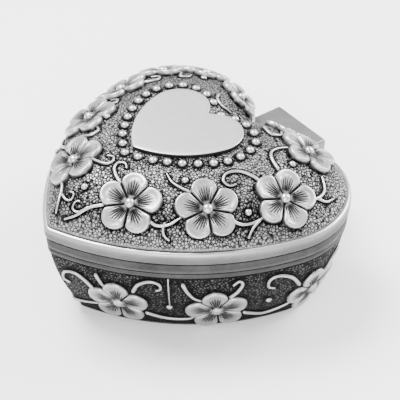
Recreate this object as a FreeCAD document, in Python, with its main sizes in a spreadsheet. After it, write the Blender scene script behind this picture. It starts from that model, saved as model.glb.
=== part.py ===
"""Heart-shaped wind-up music box: a cast pewter case and hinged lid over a pinned-cylinder movement.

Frame: +Z up from the table, +Y from the heart's tip to its hinge, +X to the right. The origin is on the
table, at the middle of the box's length and width. Millimetres.
"""
import FreeCAD, Part
import math
import os

import Sketcher

Vector = FreeCAD.Vector
ALONG_X = FreeCAD.Rotation(Vector(0, 1, 0), 90)

DIMENSIONS = {
    # heart outline: six tangent arcs
    "lobe_x": 21.76, "lobe_y": 13.35, "lobe_radius": 24.24, "side_radius": 79.2, "join_angle": -13.6,
    "tip_radius": 4.0, "cleft_radius": 3.0,
    # case
    "case_height": 27.9, "case_wall": 2.2, "rim_inset": 0.5, "foot_taper": 8.0, "floor_height": 8.0,
    "floor_thickness": 2.0, "foot_width": 3.0, "key_hole_radius": 4.2, "screw_hole_radius": 1.3,
    # lid
    "lid_gap": 0.3, "band_height": 7.4, "band_step": 0.4, "lower_band": 3.6, "dome_height": 14.2,
    "dome_inset": 1.2, "lid_wall": 2.0, "plaque_scale": 0.36, "plaque_thickness": 0.7,
    "plaque_recess": 0.1, "crown_scale": 0.45,
    # hinge
    "hinge_y": 43.2, "hinge_rise": 0.1, "knuckle_radius": 2.7, "hinge_width": 22.4,
    "body_knuckle": 10.4, "hinge_gap": 0.4, "hinge_pin_radius": 1.0, "hinge_bore_play": 0.05,
    "block_height": 3.2, "block_length": 24.0, "lug_depth": 9.0, "lug_length": 18.0,
    "lug_clearance": 0.7, "hinge_corner": 0.9,
    # lining and insert
    "lining_rise": 4.0, "lining_thickness": 1.5, "lining_gap": 0.25, "insert_drop": 0.9,
    "insert_gap": 0.35, "insert_wall": 1.8, "well_floor": 3.0, "movement_gap": 1.2,
    "cover_seat": 1.3, "cover_rise": 3.2, "cover_wall": 0.9, "cover_inset": 4.2, "cover_hole": 1.1,
    # movement bedplate
    "plate_width": 48.0, "plate_depth": 35.0, "plate_y": 0.5, "plate_thickness": 2.0,
    "plate_corner": 2.5, "ear_left": 13.0, "ear_right": 24.0, "ear_depth": 6.4, "front_screw_x": 18.5,
    "front_screw_y": -12.7, "rear_screw_x": 6.0, "rear_screw_y": 10.5, "mount_screw_radius": 1.2,
    "screw_play": 0.05,
    # spring housing, main wheel and winding train
    "drum_x": -11.0, "drum_y": 4.5, "drum_radius": 10.6, "drum_wall": 0.8, "drum_bottom": 6.4,
    "drum_height": 13.0, "post_circle": 15.2, "post_radius": 1.7, "ear_thickness": 0.9,
    "arbor_radius": 1.9, "arbor_play": 0.05, "spring_turns": 5.0, "spring_thickness": 0.55,
    "wheel_radius": 13.1, "wheel_pitch": 12.0, "wheel_teeth": 32, "wheel_plate": 1.2,
    "crown_tooth": 1.1, "crown_face": 2.0, "wheel_lift": 1.6, "key_width": 20.0, "key_height": 6.4,
    "key_thickness": 1.6, "key_hub_radius": 3.1, "key_clearance": 0.5,
    # cylinder
    "cylinder_radius": 6.5, "cylinder_start": 3.6, "cylinder_length": 14.0, "cylinder_wall": 0.7,
    "axis_height": 10.0, "pin_length": 0.65, "pin_radius": 0.22, "pinion_teeth": 12,
    "pinion_pitch": 4.5, "pinion_tip": 4.9, "pinion_width": 1.8, "pinion_start": 0.3,
    "shaft_radius": 1.0, "shaft_play": 0.05, "gear_teeth": 48, "gear_width": 0.9,
    "small_module": 0.3, "bracket_thickness": 0.9, "bracket_gap": 0.15,
    # comb
    "comb_notes": 18, "comb_gap": 0.15, "comb_thickness": 1.1, "comb_reed": 9.0, "comb_base": 4.6,
    "comb_slot": 0.2, "comb_screw_radius": 0.9, "comb_screw_inset": 4.0,
    # governor
    "gov_pinion_teeth": 8, "gov_gear_teeth": 26, "gov_gear_x": 20.3, "gov_gear_width": 0.9,
    "gov_shaft_radius": 0.5, "worm_radius": 1.0, "fan_radius": 3.6,
    "fan_height": 2.6, "fan_thickness": 0.5, "gov_frame_top": 16.4, "gov_plate": 0.8,
    # stop rod
    "rod_x": 15.0, "rod_y": 22.4, "rod_radius": 0.6, "rod_play": 0.05, "guide_radius": 1.5,
    "guide_height": 6.0, "rod_foot": 2.0,
    "fan_room": 0.3,
}

HEART_LEVELS = 8        # sections that shape the side of the case
SIDE_CURVE = 1.6        # how quickly the side of the case draws in towards the foot
DOME_LEVELS = 7         # sections that shape the dome
DOME_CURVE = 2.1        # superellipse power of the dome's profile
SHARPEST_TIP = 0.6      # the least radius left at the tip when an outline is drawn inwards

doc = FreeCAD.newDocument("MusicBox")
dims = doc.addObject("Spreadsheet::Sheet", "Dims")
for row, (alias, number) in enumerate(DIMENSIONS.items(), start=1):
    dims.set(f"A{row}", alias)
    dims.set(f"B{row}", str(number))
    dims.setAlias(f"B{row}", alias)
doc.recompute()

SUB_PARTS = []


def value(expression):
    """The number that an expression on the sheet gives."""
    return float(dims.evalExpression(expression))


def bind(thing, **properties):
    """Binds properties of an object to expressions on the sheet; x, y and z place it."""
    names = {"x": "Placement.Base.x", "y": "Placement.Base.y", "z": "Placement.Base.z"}
    for name, expression in properties.items():
        thing.setExpression(names.get(name, name), expression)
    return thing


def sub_part(thing, label):
    """Marks an object as a sub-part, under the name that its file takes."""
    thing.Label = label
    SUB_PARTS.append(thing)
    return thing


def box(name, length, width, height, x="0", y="0", z="0"):
    """A box from its lowest corner."""
    return bind(doc.addObject("Part::Box", name), Length=length, Width=width, Height=height, x=x, y=y, z=z)


def rod(name, radius, height, x="0", y="0", z="0", lying=False):
    """A cylinder up +Z, or along +X when lying."""
    made = doc.addObject("Part::Cylinder", name)
    if lying:
        made.Placement.Rotation = ALONG_X
    return bind(made, Radius=radius, Height=height, x=x, y=y, z=z)


def fuse(name, *shapes):
    """The union of several objects."""
    made = doc.addObject("Part::MultiFuse", name)
    made.Shapes = list(shapes)
    return made


def cut(name, base, *tools):
    """A base with tools taken away."""
    made = doc.addObject("Part::Cut", name)
    made.Base = base
    made.Tool = tools[0] if len(tools) == 1 else fuse(name + "_tools", *tools)
    return made


def common(name, *shapes):
    """What several objects share."""
    made = doc.addObject("Part::MultiCommon", name)
    made.Shapes = list(shapes)
    return made


def shaped(name, shape, x="0", y="0", z="0"):
    """A feature whose shape is computed here; its place is still bound to the sheet."""
    made = doc.addObject("Part::Feature", name)
    made.Shape = shape
    return bind(made, x=x, y=y, z=z)


# ---------------------------------------------------------------- the heart outline
def heart(name, height, inset="0", scale="1"):
    """A closed heart sketch of six tangent arcs at a height, drawn in by inset and scaled about the Z axis."""
    sizes = {
        "lobe_x": f"Dims.lobe_x * ({scale})",
        "lobe_y": f"Dims.lobe_y * ({scale})",
        "lobe_r": f"(Dims.lobe_radius - ({inset})) * ({scale})",
        "side_r": f"(Dims.side_radius - ({inset})) * ({scale})",
        "tip_r": f"max(Dims.tip_radius - ({inset}); {SHARPEST_TIP}) * ({scale})",
        "cleft_r": f"(Dims.cleft_radius + ({inset})) * ({scale})",
        "join_y": f"(Dims.lobe_y + (Dims.lobe_radius - ({inset})) * sin(Dims.join_angle * 1deg)) * ({scale})",
    }
    now = {key: value(expression) for key, expression in sizes.items()}
    angle = math.radians(value("Dims.join_angle"))
    outward = Vector(math.cos(angle), math.sin(angle), 0)
    lobe = Vector(now["lobe_x"], now["lobe_y"], 0)
    side = lobe - outward * (now["side_r"] - now["lobe_r"])
    tip = Vector(0, side.y - math.sqrt((now["side_r"] - now["tip_r"]) ** 2 - side.x ** 2), 0)
    cleft = Vector(0, lobe.y + math.sqrt((now["lobe_r"] + now["cleft_r"]) ** 2 - lobe.x ** 2), 0)
    join = lobe + outward * now["lobe_r"]
    low = side + (tip - side).normalize() * now["side_r"]
    top = lobe + (cleft - lobe).normalize() * now["lobe_r"]

    def mirrored(point):
        return Vector(-point.x, point.y, 0)

    def arc(centre, radius, start, end):
        turns = [math.atan2(p.y - centre.y, p.x - centre.x) for p in (start, end)]
        return Part.ArcOfCircle(Part.Circle(centre, Vector(0, 0, 1), radius), *turns)

    sketch = doc.addObject("Sketcher::SketchObject", name)
    sketch.addGeometry([
        arc(tip, now["tip_r"], mirrored(low), low),
        arc(side, now["side_r"], low, join),
        arc(lobe, now["lobe_r"], join, top),
        arc(cleft, now["cleft_r"], mirrored(top), top),
        arc(mirrored(lobe), now["lobe_r"], mirrored(top), mirrored(join)),
        arc(mirrored(side), now["side_r"], mirrored(join), mirrored(low)),
    ], False)
    for meets in ((0, 2, 1, 1), (1, 2, 2, 1), (2, 2, 3, 2), (3, 1, 4, 1), (4, 2, 5, 1), (5, 2, 0, 1)):
        sketch.addConstraint(Sketcher.Constraint("Tangent", *meets))
    sketch.addConstraint(Sketcher.Constraint("Symmetric", 2, 3, 4, 3, -2))
    sketch.addConstraint(Sketcher.Constraint("Equal", 2, 4))
    sketch.addConstraint(Sketcher.Constraint("Equal", 1, 5))
    sketch.addConstraint(Sketcher.Constraint("PointOnObject", 0, 3, -2))
    driven = {
        "lobe_x": ("DistanceX", -1, 1, 2, 3), "lobe_y": ("DistanceY", -1, 1, 2, 3), "lobe_r": ("Radius", 2),
        "side_r": ("Radius", 1), "tip_r": ("Radius", 0), "cleft_r": ("Radius", 3),
        "join_y": ("DistanceY", -1, 1, 2, 1),
    }
    for key, constraint in driven.items():
        sketch.renameConstraint(sketch.addConstraint(Sketcher.Constraint(*constraint, now[key])), key)
        sketch.setExpression("Constraints." + key, sizes[key])
    return bind(sketch, z=height)


def heart_slab(name, bottom, thickness, inset="0", scale="1"):
    """A heart of even thickness."""
    made = doc.addObject("Part::Extrusion", name)
    made.Base = heart(name + "_outline", bottom, inset, scale)
    made.DirMode = "Custom"
    made.Dir = Vector(0, 0, 1)
    made.Solid = True
    return bind(made, LengthFwd=thickness)


def heart_loft(name, sections):
    """A solid through heart sections, each a height, an inset and a scale."""
    made = doc.addObject("Part::Loft", name)
    made.Sections = [heart(f"{name}_{i}", *section) for i, section in enumerate(sections)]
    made.Solid = True
    made.Ruled = False
    return made


def case_side(extra_inset, bottom, top):
    """Sections of the case's curved side between two heights, drawn in by an extra inset."""
    sections = []
    for i in range(HEART_LEVELS):
        share = i / (HEART_LEVELS - 1)
        height = f"({bottom}) + (({top}) - ({bottom})) * {share}"
        taper = f"Dims.foot_taper * pow(1 - min(({height}) / Dims.case_height; 1); {SIDE_CURVE})"
        sections.append((height, f"Dims.rim_inset + ({extra_inset}) + {taper}", "1"))
    return sections


def dome_side(wall, drop):
    """Sections of the dome from the band's top to its crown, offset inwards by a wall and lowered by a drop."""
    sections = []
    for i in range(DOME_LEVELS):
        turn = math.pi / 2 * i / (DOME_LEVELS - 1)
        out, up = math.cos(turn) ** (2 / DOME_CURVE), math.sin(turn) ** (2 / DOME_CURVE)
        scale = f"(Dims.crown_scale + (1 - Dims.crown_scale) * {out})"
        height = f"{BAND_TOP} + (Dims.dome_height - ({drop})) * {up}"
        sections.append((height, f"(Dims.dome_inset * {out} + ({wall})) / {scale}", scale))
    return sections


LID_BOTTOM = "(Dims.case_height + Dims.lid_gap)"
HINGE_Z = "(Dims.case_height + Dims.hinge_rise)"
INSERT_TOP = "(Dims.case_height - Dims.insert_drop)"
LINING_Z = "(Dims.case_height + Dims.lining_rise)"
COVER_TOP = "(Dims.case_height + Dims.cover_rise)"
BAND_TOP = f"({LID_BOTTOM} + Dims.band_height)"
FLOOR_TOP = "(Dims.floor_height + Dims.floor_thickness)"
PLATE_TOP = f"({FLOOR_TOP} + Dims.plate_thickness)"
HALF_HINGE = "Dims.hinge_width / 2"
KNUCKLE_PLAY = "(Dims.knuckle_radius + Dims.hinge_gap)"


# ---------------------------------------------------------------- case, lid and hinge
def screw_places():
    """Where the three movement screws pass, as pairs of expressions."""
    return [
        ("-Dims.front_screw_x", "Dims.front_screw_y"),
        ("Dims.front_screw_x", "Dims.front_screw_y"),
        ("Dims.rear_screw_x", "Dims.rear_screw_y"),
    ]


def case_body():
    """The cast bowl: curved heart side, raised floor over the key recess, hinge lug with the middle knuckle."""
    outside = heart_loft("case_outside", case_side("0", "0", "Dims.case_height"))
    inside = heart_loft("case_inside", case_side("Dims.case_wall", FLOOR_TOP, "Dims.case_height + 0.6"))
    recess = heart_slab("key_recess", "-1", "Dims.floor_height + 1",
                        "Dims.rim_inset + Dims.foot_taper + Dims.foot_width")
    lug = box("hinge_lug", "Dims.hinge_width", "Dims.lug_length", "Dims.lug_depth", f"-{HALF_HINGE}",
              "Dims.hinge_y - Dims.knuckle_radius - Dims.lug_clearance - Dims.lug_length",
              "Dims.case_height - Dims.lug_depth")
    arm = box("hinge_arm", "Dims.body_knuckle", "Dims.knuckle_radius + Dims.lug_clearance + 0.4",
              "Dims.lug_depth", "-Dims.body_knuckle / 2",
              "Dims.hinge_y - Dims.knuckle_radius - Dims.lug_clearance - 0.4",
              "Dims.case_height - Dims.lug_depth")
    knuckle = rod("body_knuckle", "Dims.knuckle_radius", "Dims.body_knuckle", "-Dims.body_knuckle / 2",
                  "Dims.hinge_y", HINGE_Z, lying=True)
    bore = rod("body_knuckle_bore", "Dims.hinge_pin_radius + Dims.hinge_bore_play", "Dims.body_knuckle + 2",
               "-Dims.body_knuckle / 2 - 1", "Dims.hinge_y", HINGE_Z, lying=True)
    holes = [rod("key_hole", "Dims.key_hole_radius", "Dims.floor_thickness + 2", "Dims.drum_x", "Dims.drum_y",
                 "Dims.floor_height - 1")]
    for i, (x, y) in enumerate(screw_places()):
        holes.append(rod(f"screw_hole_{i}", "Dims.screw_hole_radius", "Dims.floor_thickness + 2", x, y,
                         "Dims.floor_height - 1"))
    solid = fuse("case_solid", outside, lug, arm, knuckle)
    sub_part(cut("case", solid, inside, recess, bore, *holes), "case_body")


def lid_shell():
    """The cast lid: stepped band, hollow heart dome, and the block that covers the hinge."""
    lower = heart_slab("lower_band", LID_BOTTOM, "Dims.lower_band + 0.2", "Dims.band_step")
    upper = heart_slab("upper_band", f"{LID_BOTTOM} + Dims.lower_band",
                       "Dims.band_height - Dims.lower_band")
    dome = heart_loft("dome_outside", dome_side("0", "0"))
    hollow = heart_loft("dome_inside", dome_side("Dims.lid_wall", "Dims.lid_wall"))
    mouth = heart_slab("lid_mouth", f"{LID_BOTTOM} - 1", "Dims.band_height + 1.05",
                       "Dims.lid_wall + Dims.dome_inset")
    block = doc.addObject("Part::Chamfer", "hinge_block")
    block.Base = box("hinge_block_stock", "Dims.hinge_width", "Dims.block_length", "Dims.block_height",
                     f"-{HALF_HINGE}", "Dims.hinge_y + Dims.knuckle_radius - Dims.block_length", LID_BOTTOM)
    doc.recompute()
    block.Edges = [(i + 1, value("Dims.hinge_corner"), value("Dims.hinge_corner"))
                   for i, edge in enumerate(block.Base.Shape.Edges) if is_rear_corner(edge)]
    ears = []
    for side, name in ((-1, "left"), (1, "right")):
        start = f"-{HALF_HINGE} + Dims.hinge_corner / 2" if side < 0 else \
            "Dims.body_knuckle / 2 + Dims.hinge_gap"
        ears.append(rod(f"lid_knuckle_{name}", "Dims.knuckle_radius",
                        f"{HALF_HINGE} - Dims.hinge_corner / 2 - Dims.body_knuckle / 2 - Dims.hinge_gap",
                        start, "Dims.hinge_y", HINGE_Z, lying=True))
    pocket = rod("knuckle_pocket", KNUCKLE_PLAY, "Dims.body_knuckle + 2 * Dims.hinge_gap",
                 "-Dims.body_knuckle / 2 - Dims.hinge_gap", "Dims.hinge_y", HINGE_Z, lying=True)
    mouth_back = box("knuckle_pocket_back", "Dims.body_knuckle + 2 * Dims.hinge_gap", "8",
                     f"{HINGE_Z} - {LID_BOTTOM} + 1", "-Dims.body_knuckle / 2 - Dims.hinge_gap",
                     "Dims.hinge_y", f"{LID_BOTTOM} - 1")
    bore = rod("lid_knuckle_bore", "Dims.hinge_pin_radius + Dims.hinge_bore_play", "Dims.hinge_width + 4",
               f"-{HALF_HINGE} - 2", "Dims.hinge_y", HINGE_Z, lying=True)
    seat = heart_slab("plaque_seat", f"{BAND_TOP} + Dims.dome_height - Dims.plaque_recess", "3",
                      "0", "Dims.plaque_scale")
    solid = fuse("lid_solid", lower, upper, dome, block, *ears)
    sub_part(cut("lid", solid, hollow, mouth, pocket, mouth_back, bore, seat), "lid_shell")


def is_rear_corner(edge):
    """Whether an edge of the hinge block is one of its two upright rear corners."""
    low, high = edge.Vertexes[0].Point, edge.Vertexes[-1].Point
    upright = abs(low.x - high.x) < 0.01 and abs(low.y - high.y) < 0.01
    return upright and low.y > value("Dims.hinge_y")


def trim():
    """The polished heart plate on the crown, the hinge pin and the velvet-covered card in the lid."""
    sub_part(heart_slab("plaque", f"{BAND_TOP} + Dims.dome_height - Dims.plaque_recess",
                        "Dims.plaque_thickness", "0", "Dims.plaque_scale"), "heart_plaque")
    sub_part(rod("pin", "Dims.hinge_pin_radius", "Dims.hinge_width - Dims.hinge_corner - 0.4",
                 f"-{HALF_HINGE} + Dims.hinge_corner / 2 + 0.2", "Dims.hinge_y", HINGE_Z,
                 lying=True), "hinge_pin")
    sub_part(heart_slab("lining", LINING_Z, "Dims.lining_thickness",
                        "Dims.lid_wall + Dims.dome_inset + Dims.lining_gap"), "lid_lining")


def insert_tray():
    """The flocked insert: a block that follows the case, open over the movement, with three jewel wells."""
    fit = "Dims.case_wall + Dims.insert_gap"
    block = heart_loft("insert_block", case_side(fit, f"{FLOOR_TOP} + 0.2", INSERT_TOP))
    hollow = heart_loft("insert_wells", case_side(f"{fit} + Dims.insert_wall", f"{FLOOR_TOP} + Dims.well_floor",
                                                  f"{INSERT_TOP} + 0.9"))
    half_window = "Dims.plate_width / 2 + Dims.movement_gap"
    window = box("movement_window", f"2 * ({half_window})", "Dims.plate_depth + 2 * Dims.movement_gap", "30",
                 f"-({half_window})", "Dims.plate_y - Dims.plate_depth / 2 - Dims.movement_gap", "9")
    rear = box("governor_window", "Dims.ear_right - Dims.ear_left + 2 * Dims.movement_gap",
               "Dims.ear_depth + Dims.movement_gap + 4", "30", "Dims.ear_left - Dims.movement_gap",
               "Dims.plate_y + Dims.plate_depth / 2 - 4", "9")
    wall = f"({half_window} + Dims.insert_wall)"
    wells = []
    for name, x in (("left", f"-{wall} - 40"), ("right", wall)):
        keep = box(f"{name}_well_side", "40", "80", "30", x, "-30", "5")
        wells.append(common(f"{name}_well", hollow, keep))
    tip_edge = "(Dims.plate_y - Dims.plate_depth / 2 - Dims.movement_gap - Dims.insert_wall)"
    keep = box("tip_well_side", "80", "60", "30", "-40", f"{tip_edge} - 60", "5")
    wells.append(common("tip_well", hollow, keep))
    sub_part(cut("insert", block, window, rear, *wells), "insert_tray")


def movement_cover():
    """The clear cover: an upside-down tray seated on the insert round the window, with a hole for the rod."""
    def tray(name, spread, bottom, top, inset):
        half = f"(Dims.plate_width / 2 + Dims.movement_gap + {spread})"
        main = box(name + "_main", f"2 * {half}", f"Dims.plate_depth + 2 * (Dims.movement_gap + {spread})",
                   f"({top}) - ({bottom})", f"-{half}",
                   f"Dims.plate_y - Dims.plate_depth / 2 - Dims.movement_gap - {spread}", bottom)
        back = box(name + "_back", f"Dims.ear_right - Dims.ear_left + 2 * (Dims.movement_gap + {spread})",
                   f"Dims.ear_depth + Dims.movement_gap + {spread} + 4", f"({top}) - ({bottom})",
                   f"Dims.ear_left - Dims.movement_gap - {spread}",
                   "Dims.plate_y + Dims.plate_depth / 2 - 4", bottom)
        outline = heart_slab(name + "_limit", bottom, f"({top}) - ({bottom})", inset)
        return common(name, fuse(name + "_blank", main, back), outline)
    shell = tray("cover_shell", "Dims.cover_seat", INSERT_TOP, COVER_TOP, "Dims.cover_inset")
    room = tray("cover_room", "(Dims.cover_seat - Dims.cover_wall)", f"{INSERT_TOP} - 0.5",
                f"{COVER_TOP} - Dims.cover_wall", "Dims.cover_inset + Dims.cover_wall")
    hole = rod("cover_rod_hole", "Dims.cover_hole", "6", "Dims.rod_x", "Dims.rod_y", f"{COVER_TOP} - 3")
    sub_part(cut("cover", shell, room, hole), "movement_cover")


# ---------------------------------------------------------------- movement: frame
def movement_bedplate():
    """The cast bedplate: clipped corners, governor ear, comb pedestal and three housing posts."""
    stock = doc.addObject("Part::Chamfer", "bedplate_stock")
    stock.Base = box("bedplate_blank", "Dims.plate_width", "Dims.plate_depth", "Dims.plate_thickness",
                     "-Dims.plate_width / 2", "Dims.plate_y - Dims.plate_depth / 2", FLOOR_TOP)
    doc.recompute()
    corner = value("Dims.plate_corner")
    stock.Edges = [(i + 1, corner, corner) for i, edge in enumerate(stock.Base.Shape.Edges)
                   if abs(edge.Vertexes[0].Z - edge.Vertexes[-1].Z) > 0.01]
    ear = box("governor_ear", "Dims.ear_right - Dims.ear_left", "Dims.ear_depth + 4", "Dims.plate_thickness",
              "Dims.ear_left", "Dims.plate_y + Dims.plate_depth / 2 - 4", FLOOR_TOP)
    pedestal = box("comb_pedestal", "Dims.cylinder_length + 2", "Dims.comb_base",
                   "Dims.axis_height - Dims.comb_thickness / 2 - Dims.plate_thickness",
                   "Dims.cylinder_start - 1", f"{COMB_BACK} + 0.2", PLATE_TOP)
    bush = rod("arbor_bush", "Dims.key_hole_radius - 0.4", "Dims.floor_thickness - 0.6", "Dims.drum_x",
               "Dims.drum_y", "Dims.floor_height + 0.6")
    posts = [rod(f"housing_post_{i}", "Dims.post_radius", "Dims.drum_bottom - Dims.plate_thickness", x, y,
                 PLATE_TOP) for i, (x, y) in enumerate(post_places())]
    holes = [rod("arbor_bore", "Dims.arbor_radius + Dims.arbor_play", "12", "Dims.drum_x", "Dims.drum_y",
                 "Dims.floor_height - 1")]
    for i, (x, y) in enumerate(screw_places()):
        holes.append(rod(f"plate_hole_{i}", "Dims.mount_screw_radius + Dims.screw_play", "12", x, y,
                         "Dims.floor_height - 1"))
    for i, (x, y) in enumerate(post_places()):
        holes.append(rod(f"post_hole_{i}", "Dims.comb_screw_radius + Dims.screw_play", "12", x, y, PLATE_TOP))
    for i, x in enumerate(comb_screw_places()):
        holes.append(rod(f"pedestal_hole_{i}", "Dims.comb_screw_radius + Dims.screw_play", "12", x,
                         COMB_SCREW_Y, f"{PLATE_TOP} + 1"))
    holes.append(rod("worm_pivot_hole", "Dims.gov_shaft_radius + Dims.shaft_play", "12", "Dims.gov_gear_x",
                     WORM_Y, f"{FLOOR_TOP} + 0.8"))
    solid = fuse("bedplate_solid", stock, ear, pedestal, bush, *posts)
    sub_part(cut("bedplate", solid, *holes), "movement_bedplate")


AXIS = f"({FLOOR_TOP} + Dims.axis_height)"
COMB_TIP = "(Dims.drum_y - Dims.cylinder_radius - Dims.pin_length - Dims.comb_gap)"
COMB_BACK = f"({COMB_TIP} - Dims.comb_reed - Dims.comb_base)"
COMB_SCREW_Y = f"({COMB_BACK} + Dims.comb_base / 2)"
GEAR_PITCH = "(Dims.gear_teeth * Dims.small_module / 2)"
GOV_Y = f"(Dims.drum_y + {GEAR_PITCH} + Dims.gov_pinion_teeth * Dims.small_module / 2)"
WORM_Y = f"({GOV_Y} + Dims.gov_gear_teeth * Dims.small_module / 2 + Dims.worm_radius)"
CYLINDER_END = "(Dims.cylinder_start + Dims.cylinder_length)"


def post_places():
    """Centres of the three posts that carry the spring housing."""
    return [(f"Dims.drum_x + Dims.post_circle * cos({turn} * 1deg)",
             f"Dims.drum_y + Dims.post_circle * sin({turn} * 1deg)") for turn in (135, 225, 300)]


def comb_screw_places():
    """X of the two comb screws."""
    return ["Dims.cylinder_start + Dims.comb_screw_inset - 1",
            "Dims.cylinder_start + Dims.cylinder_length + 1 - Dims.comb_screw_inset"]


def spring_housing():
    """The drum over the mainspring, with three ears that sit on the bedplate's posts."""
    bottom = f"({FLOOR_TOP} + Dims.drum_bottom)"
    cup = rod("housing_cup", "Dims.drum_radius", "Dims.drum_height", "Dims.drum_x", "Dims.drum_y", bottom)
    ears = []
    for i, (x, y) in enumerate(post_places()):
        ears.append(rod(f"housing_ear_{i}", "Dims.post_radius", "Dims.ear_thickness", x, y, bottom))
        turn = (135, 225, 300)[i]
        arm = doc.addObject("Part::Box", f"housing_arm_{i}")
        arm.Placement.Rotation = FreeCAD.Rotation(Vector(0, 0, 1), turn)
        bind(arm, Length="Dims.post_circle - Dims.drum_radius + 2", Width="2 * Dims.post_radius",
             Height="Dims.ear_thickness", z=bottom,
             x=f"Dims.drum_x + (Dims.drum_radius - 2) * cos({turn} * 1deg) + Dims.post_radius * sin({turn} * 1deg)",
             y=f"Dims.drum_y + (Dims.drum_radius - 2) * sin({turn} * 1deg) - Dims.post_radius * cos({turn} * 1deg)")
        ears.append(arm)
    hollow = rod("housing_hollow", "Dims.drum_radius - Dims.drum_wall", "Dims.drum_height",
                 "Dims.drum_x", "Dims.drum_y", f"{bottom} - Dims.drum_wall")
    crown_bore = rod("housing_bore", "Dims.arbor_radius + Dims.arbor_play", "40", "Dims.drum_x", "Dims.drum_y",
                     f"{bottom} - 1")
    holes = [rod(f"ear_hole_{i}", "Dims.comb_screw_radius + Dims.screw_play", "12", x, y, f"{bottom} - 2")
             for i, (x, y) in enumerate(post_places())]
    solid = fuse("housing_solid", cup, *ears)
    sub_part(cut("housing", solid, hollow, crown_bore, *holes), "spring_housing")


def mainspring():
    """The wound steel strip between the arbor and the drum: an Archimedean spiral of even thickness."""
    inner = value("Dims.arbor_radius + 1.2")
    outer = value("Dims.drum_radius - Dims.drum_wall - 0.5")
    turns, half = value("Dims.spring_turns"), value("Dims.spring_thickness / 2")
    steps = int(turns * 24)

    def spiral(offset):
        points = []
        for i in range(steps + 1):
            share = i / steps
            radius, turn = inner + (outer - inner) * share + offset, 2 * math.pi * turns * share
            points.append(Vector(radius * math.cos(turn), radius * math.sin(turn), 0))
        curve = Part.BSplineCurve()
        curve.interpolate(points)
        return curve.toShape(), points

    inside, first = spiral(-half)
    outside, second = spiral(half)
    ends = [Part.makeLine(first[0], second[0]), Part.makeLine(first[-1], second[-1])]
    strip = Part.Face(Part.Wire(Part.__sortEdges__([inside, ends[1], outside, ends[0]])))
    depth = value("Dims.drum_height - Dims.drum_wall - 1.2")
    sub_part(shaped("spring", strip.extrude(Vector(0, 0, depth)), "Dims.drum_x", "Dims.drum_y",
                    f"{FLOOR_TOP} + Dims.drum_bottom + 0.6"), "mainspring")


def screw(name, radius, length, head_radius, head_height, slot, x, y, z, down=True):
    """A cheese-head screw whose head stands on z; down sends its shank down, otherwise it points up."""
    shank_z, head_z = (f"({z}) - ({length})", z) if down else (z, f"({z}) - ({head_height})")
    slot_z = f"({z}) + ({head_height}) - ({slot})" if down else f"({z}) - ({head_height})"
    shank = rod(name + "_shank", radius, f"{length} + 0.01", x, y, shank_z if down else f"({z}) - 0.01")
    head = rod(name + "_head", head_radius, head_height, x, y, head_z)
    groove = box(name + "_slot", f"2 * ({head_radius}) + 1", slot, slot, f"({x}) - ({head_radius}) - 0.5",
                 f"({y}) - ({slot}) / 2", slot_z)
    return cut(name, fuse(name + "_blank", shank, head), groove)


def fasteners():
    """Screws of the housing, the comb and the movement, each set in one node."""
    ear_top = f"({FLOOR_TOP} + Dims.drum_bottom + Dims.ear_thickness)"
    sub_part(fuse("housing_screw_set", *[
        screw(f"housing_screw_{i}", "Dims.comb_screw_radius", "4", "1.6", "0.9", "0.4", x, y, ear_top)
        for i, (x, y) in enumerate(post_places())]), "housing_screws")
    comb_top = f"({AXIS} + Dims.comb_thickness / 2)"
    sub_part(fuse("comb_screw_set", *[
        screw(f"comb_screw_{i}", "Dims.comb_screw_radius", "5", "1.7", "1.0", "0.4", x, COMB_SCREW_Y, comb_top)
        for i, x in enumerate(comb_screw_places())]), "comb_screws")
    sub_part(fuse("mount_screw_set", *[
        screw(f"mount_screw_{i}", "Dims.mount_screw_radius", "Dims.floor_thickness + Dims.plate_thickness - 0.2",
              "2.3", "1.2", "0.5", x, y, "Dims.floor_height", down=False)
        for i, (x, y) in enumerate(screw_places())]), "movement_screws")


# ---------------------------------------------------------------- movement: winding and main wheel
def winding():
    """The arbor that the mainspring hooks on, and the folding-wing key screwed to its lower end."""
    key_top = "(Dims.floor_height - Dims.key_clearance)"
    arbor_top = f"({FLOOR_TOP} + Dims.drum_bottom + Dims.drum_height + 0.4)"
    arbor = rod("arbor_rod", "Dims.arbor_radius", f"{arbor_top} - {key_top} + 3", "Dims.drum_x",
                "Dims.drum_y", f"{key_top} - 3")
    sub_part(arbor, "winding_arbor")
    hub = rod("key_hub", "Dims.key_hub_radius", "Dims.key_height - 0.8", "Dims.drum_x", "Dims.drum_y",
              f"{key_top} - Dims.key_height + 0.8")
    wings = []
    for i, side in enumerate((-1, 1)):
        middle = f"Dims.drum_x + {side} * (Dims.key_width / 2 - Dims.key_height / 2)"
        disc = doc.addObject("Part::Cylinder", f"key_wing_{i}")
        disc.Placement.Rotation = FreeCAD.Rotation(Vector(1, 0, 0), 90)
        bind(disc, Radius="Dims.key_height / 2", Height="Dims.key_thickness", x=middle,
             y="Dims.drum_y + Dims.key_thickness / 2", z=f"{key_top} - Dims.key_height / 2")
        wings.append(disc)
    bar = box("key_bar", "Dims.key_width - Dims.key_height", "Dims.key_thickness", "Dims.key_height * 0.72",
              "Dims.drum_x - (Dims.key_width - Dims.key_height) / 2", "Dims.drum_y - Dims.key_thickness / 2",
              f"{key_top} - Dims.key_height * 0.86")
    socket = rod("key_socket", "Dims.arbor_radius", "3", "Dims.drum_x", "Dims.drum_y", f"{key_top} - 3")
    sub_part(cut("key", fuse("key_solid", hub, bar, *wings), socket), "winding_key")


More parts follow.
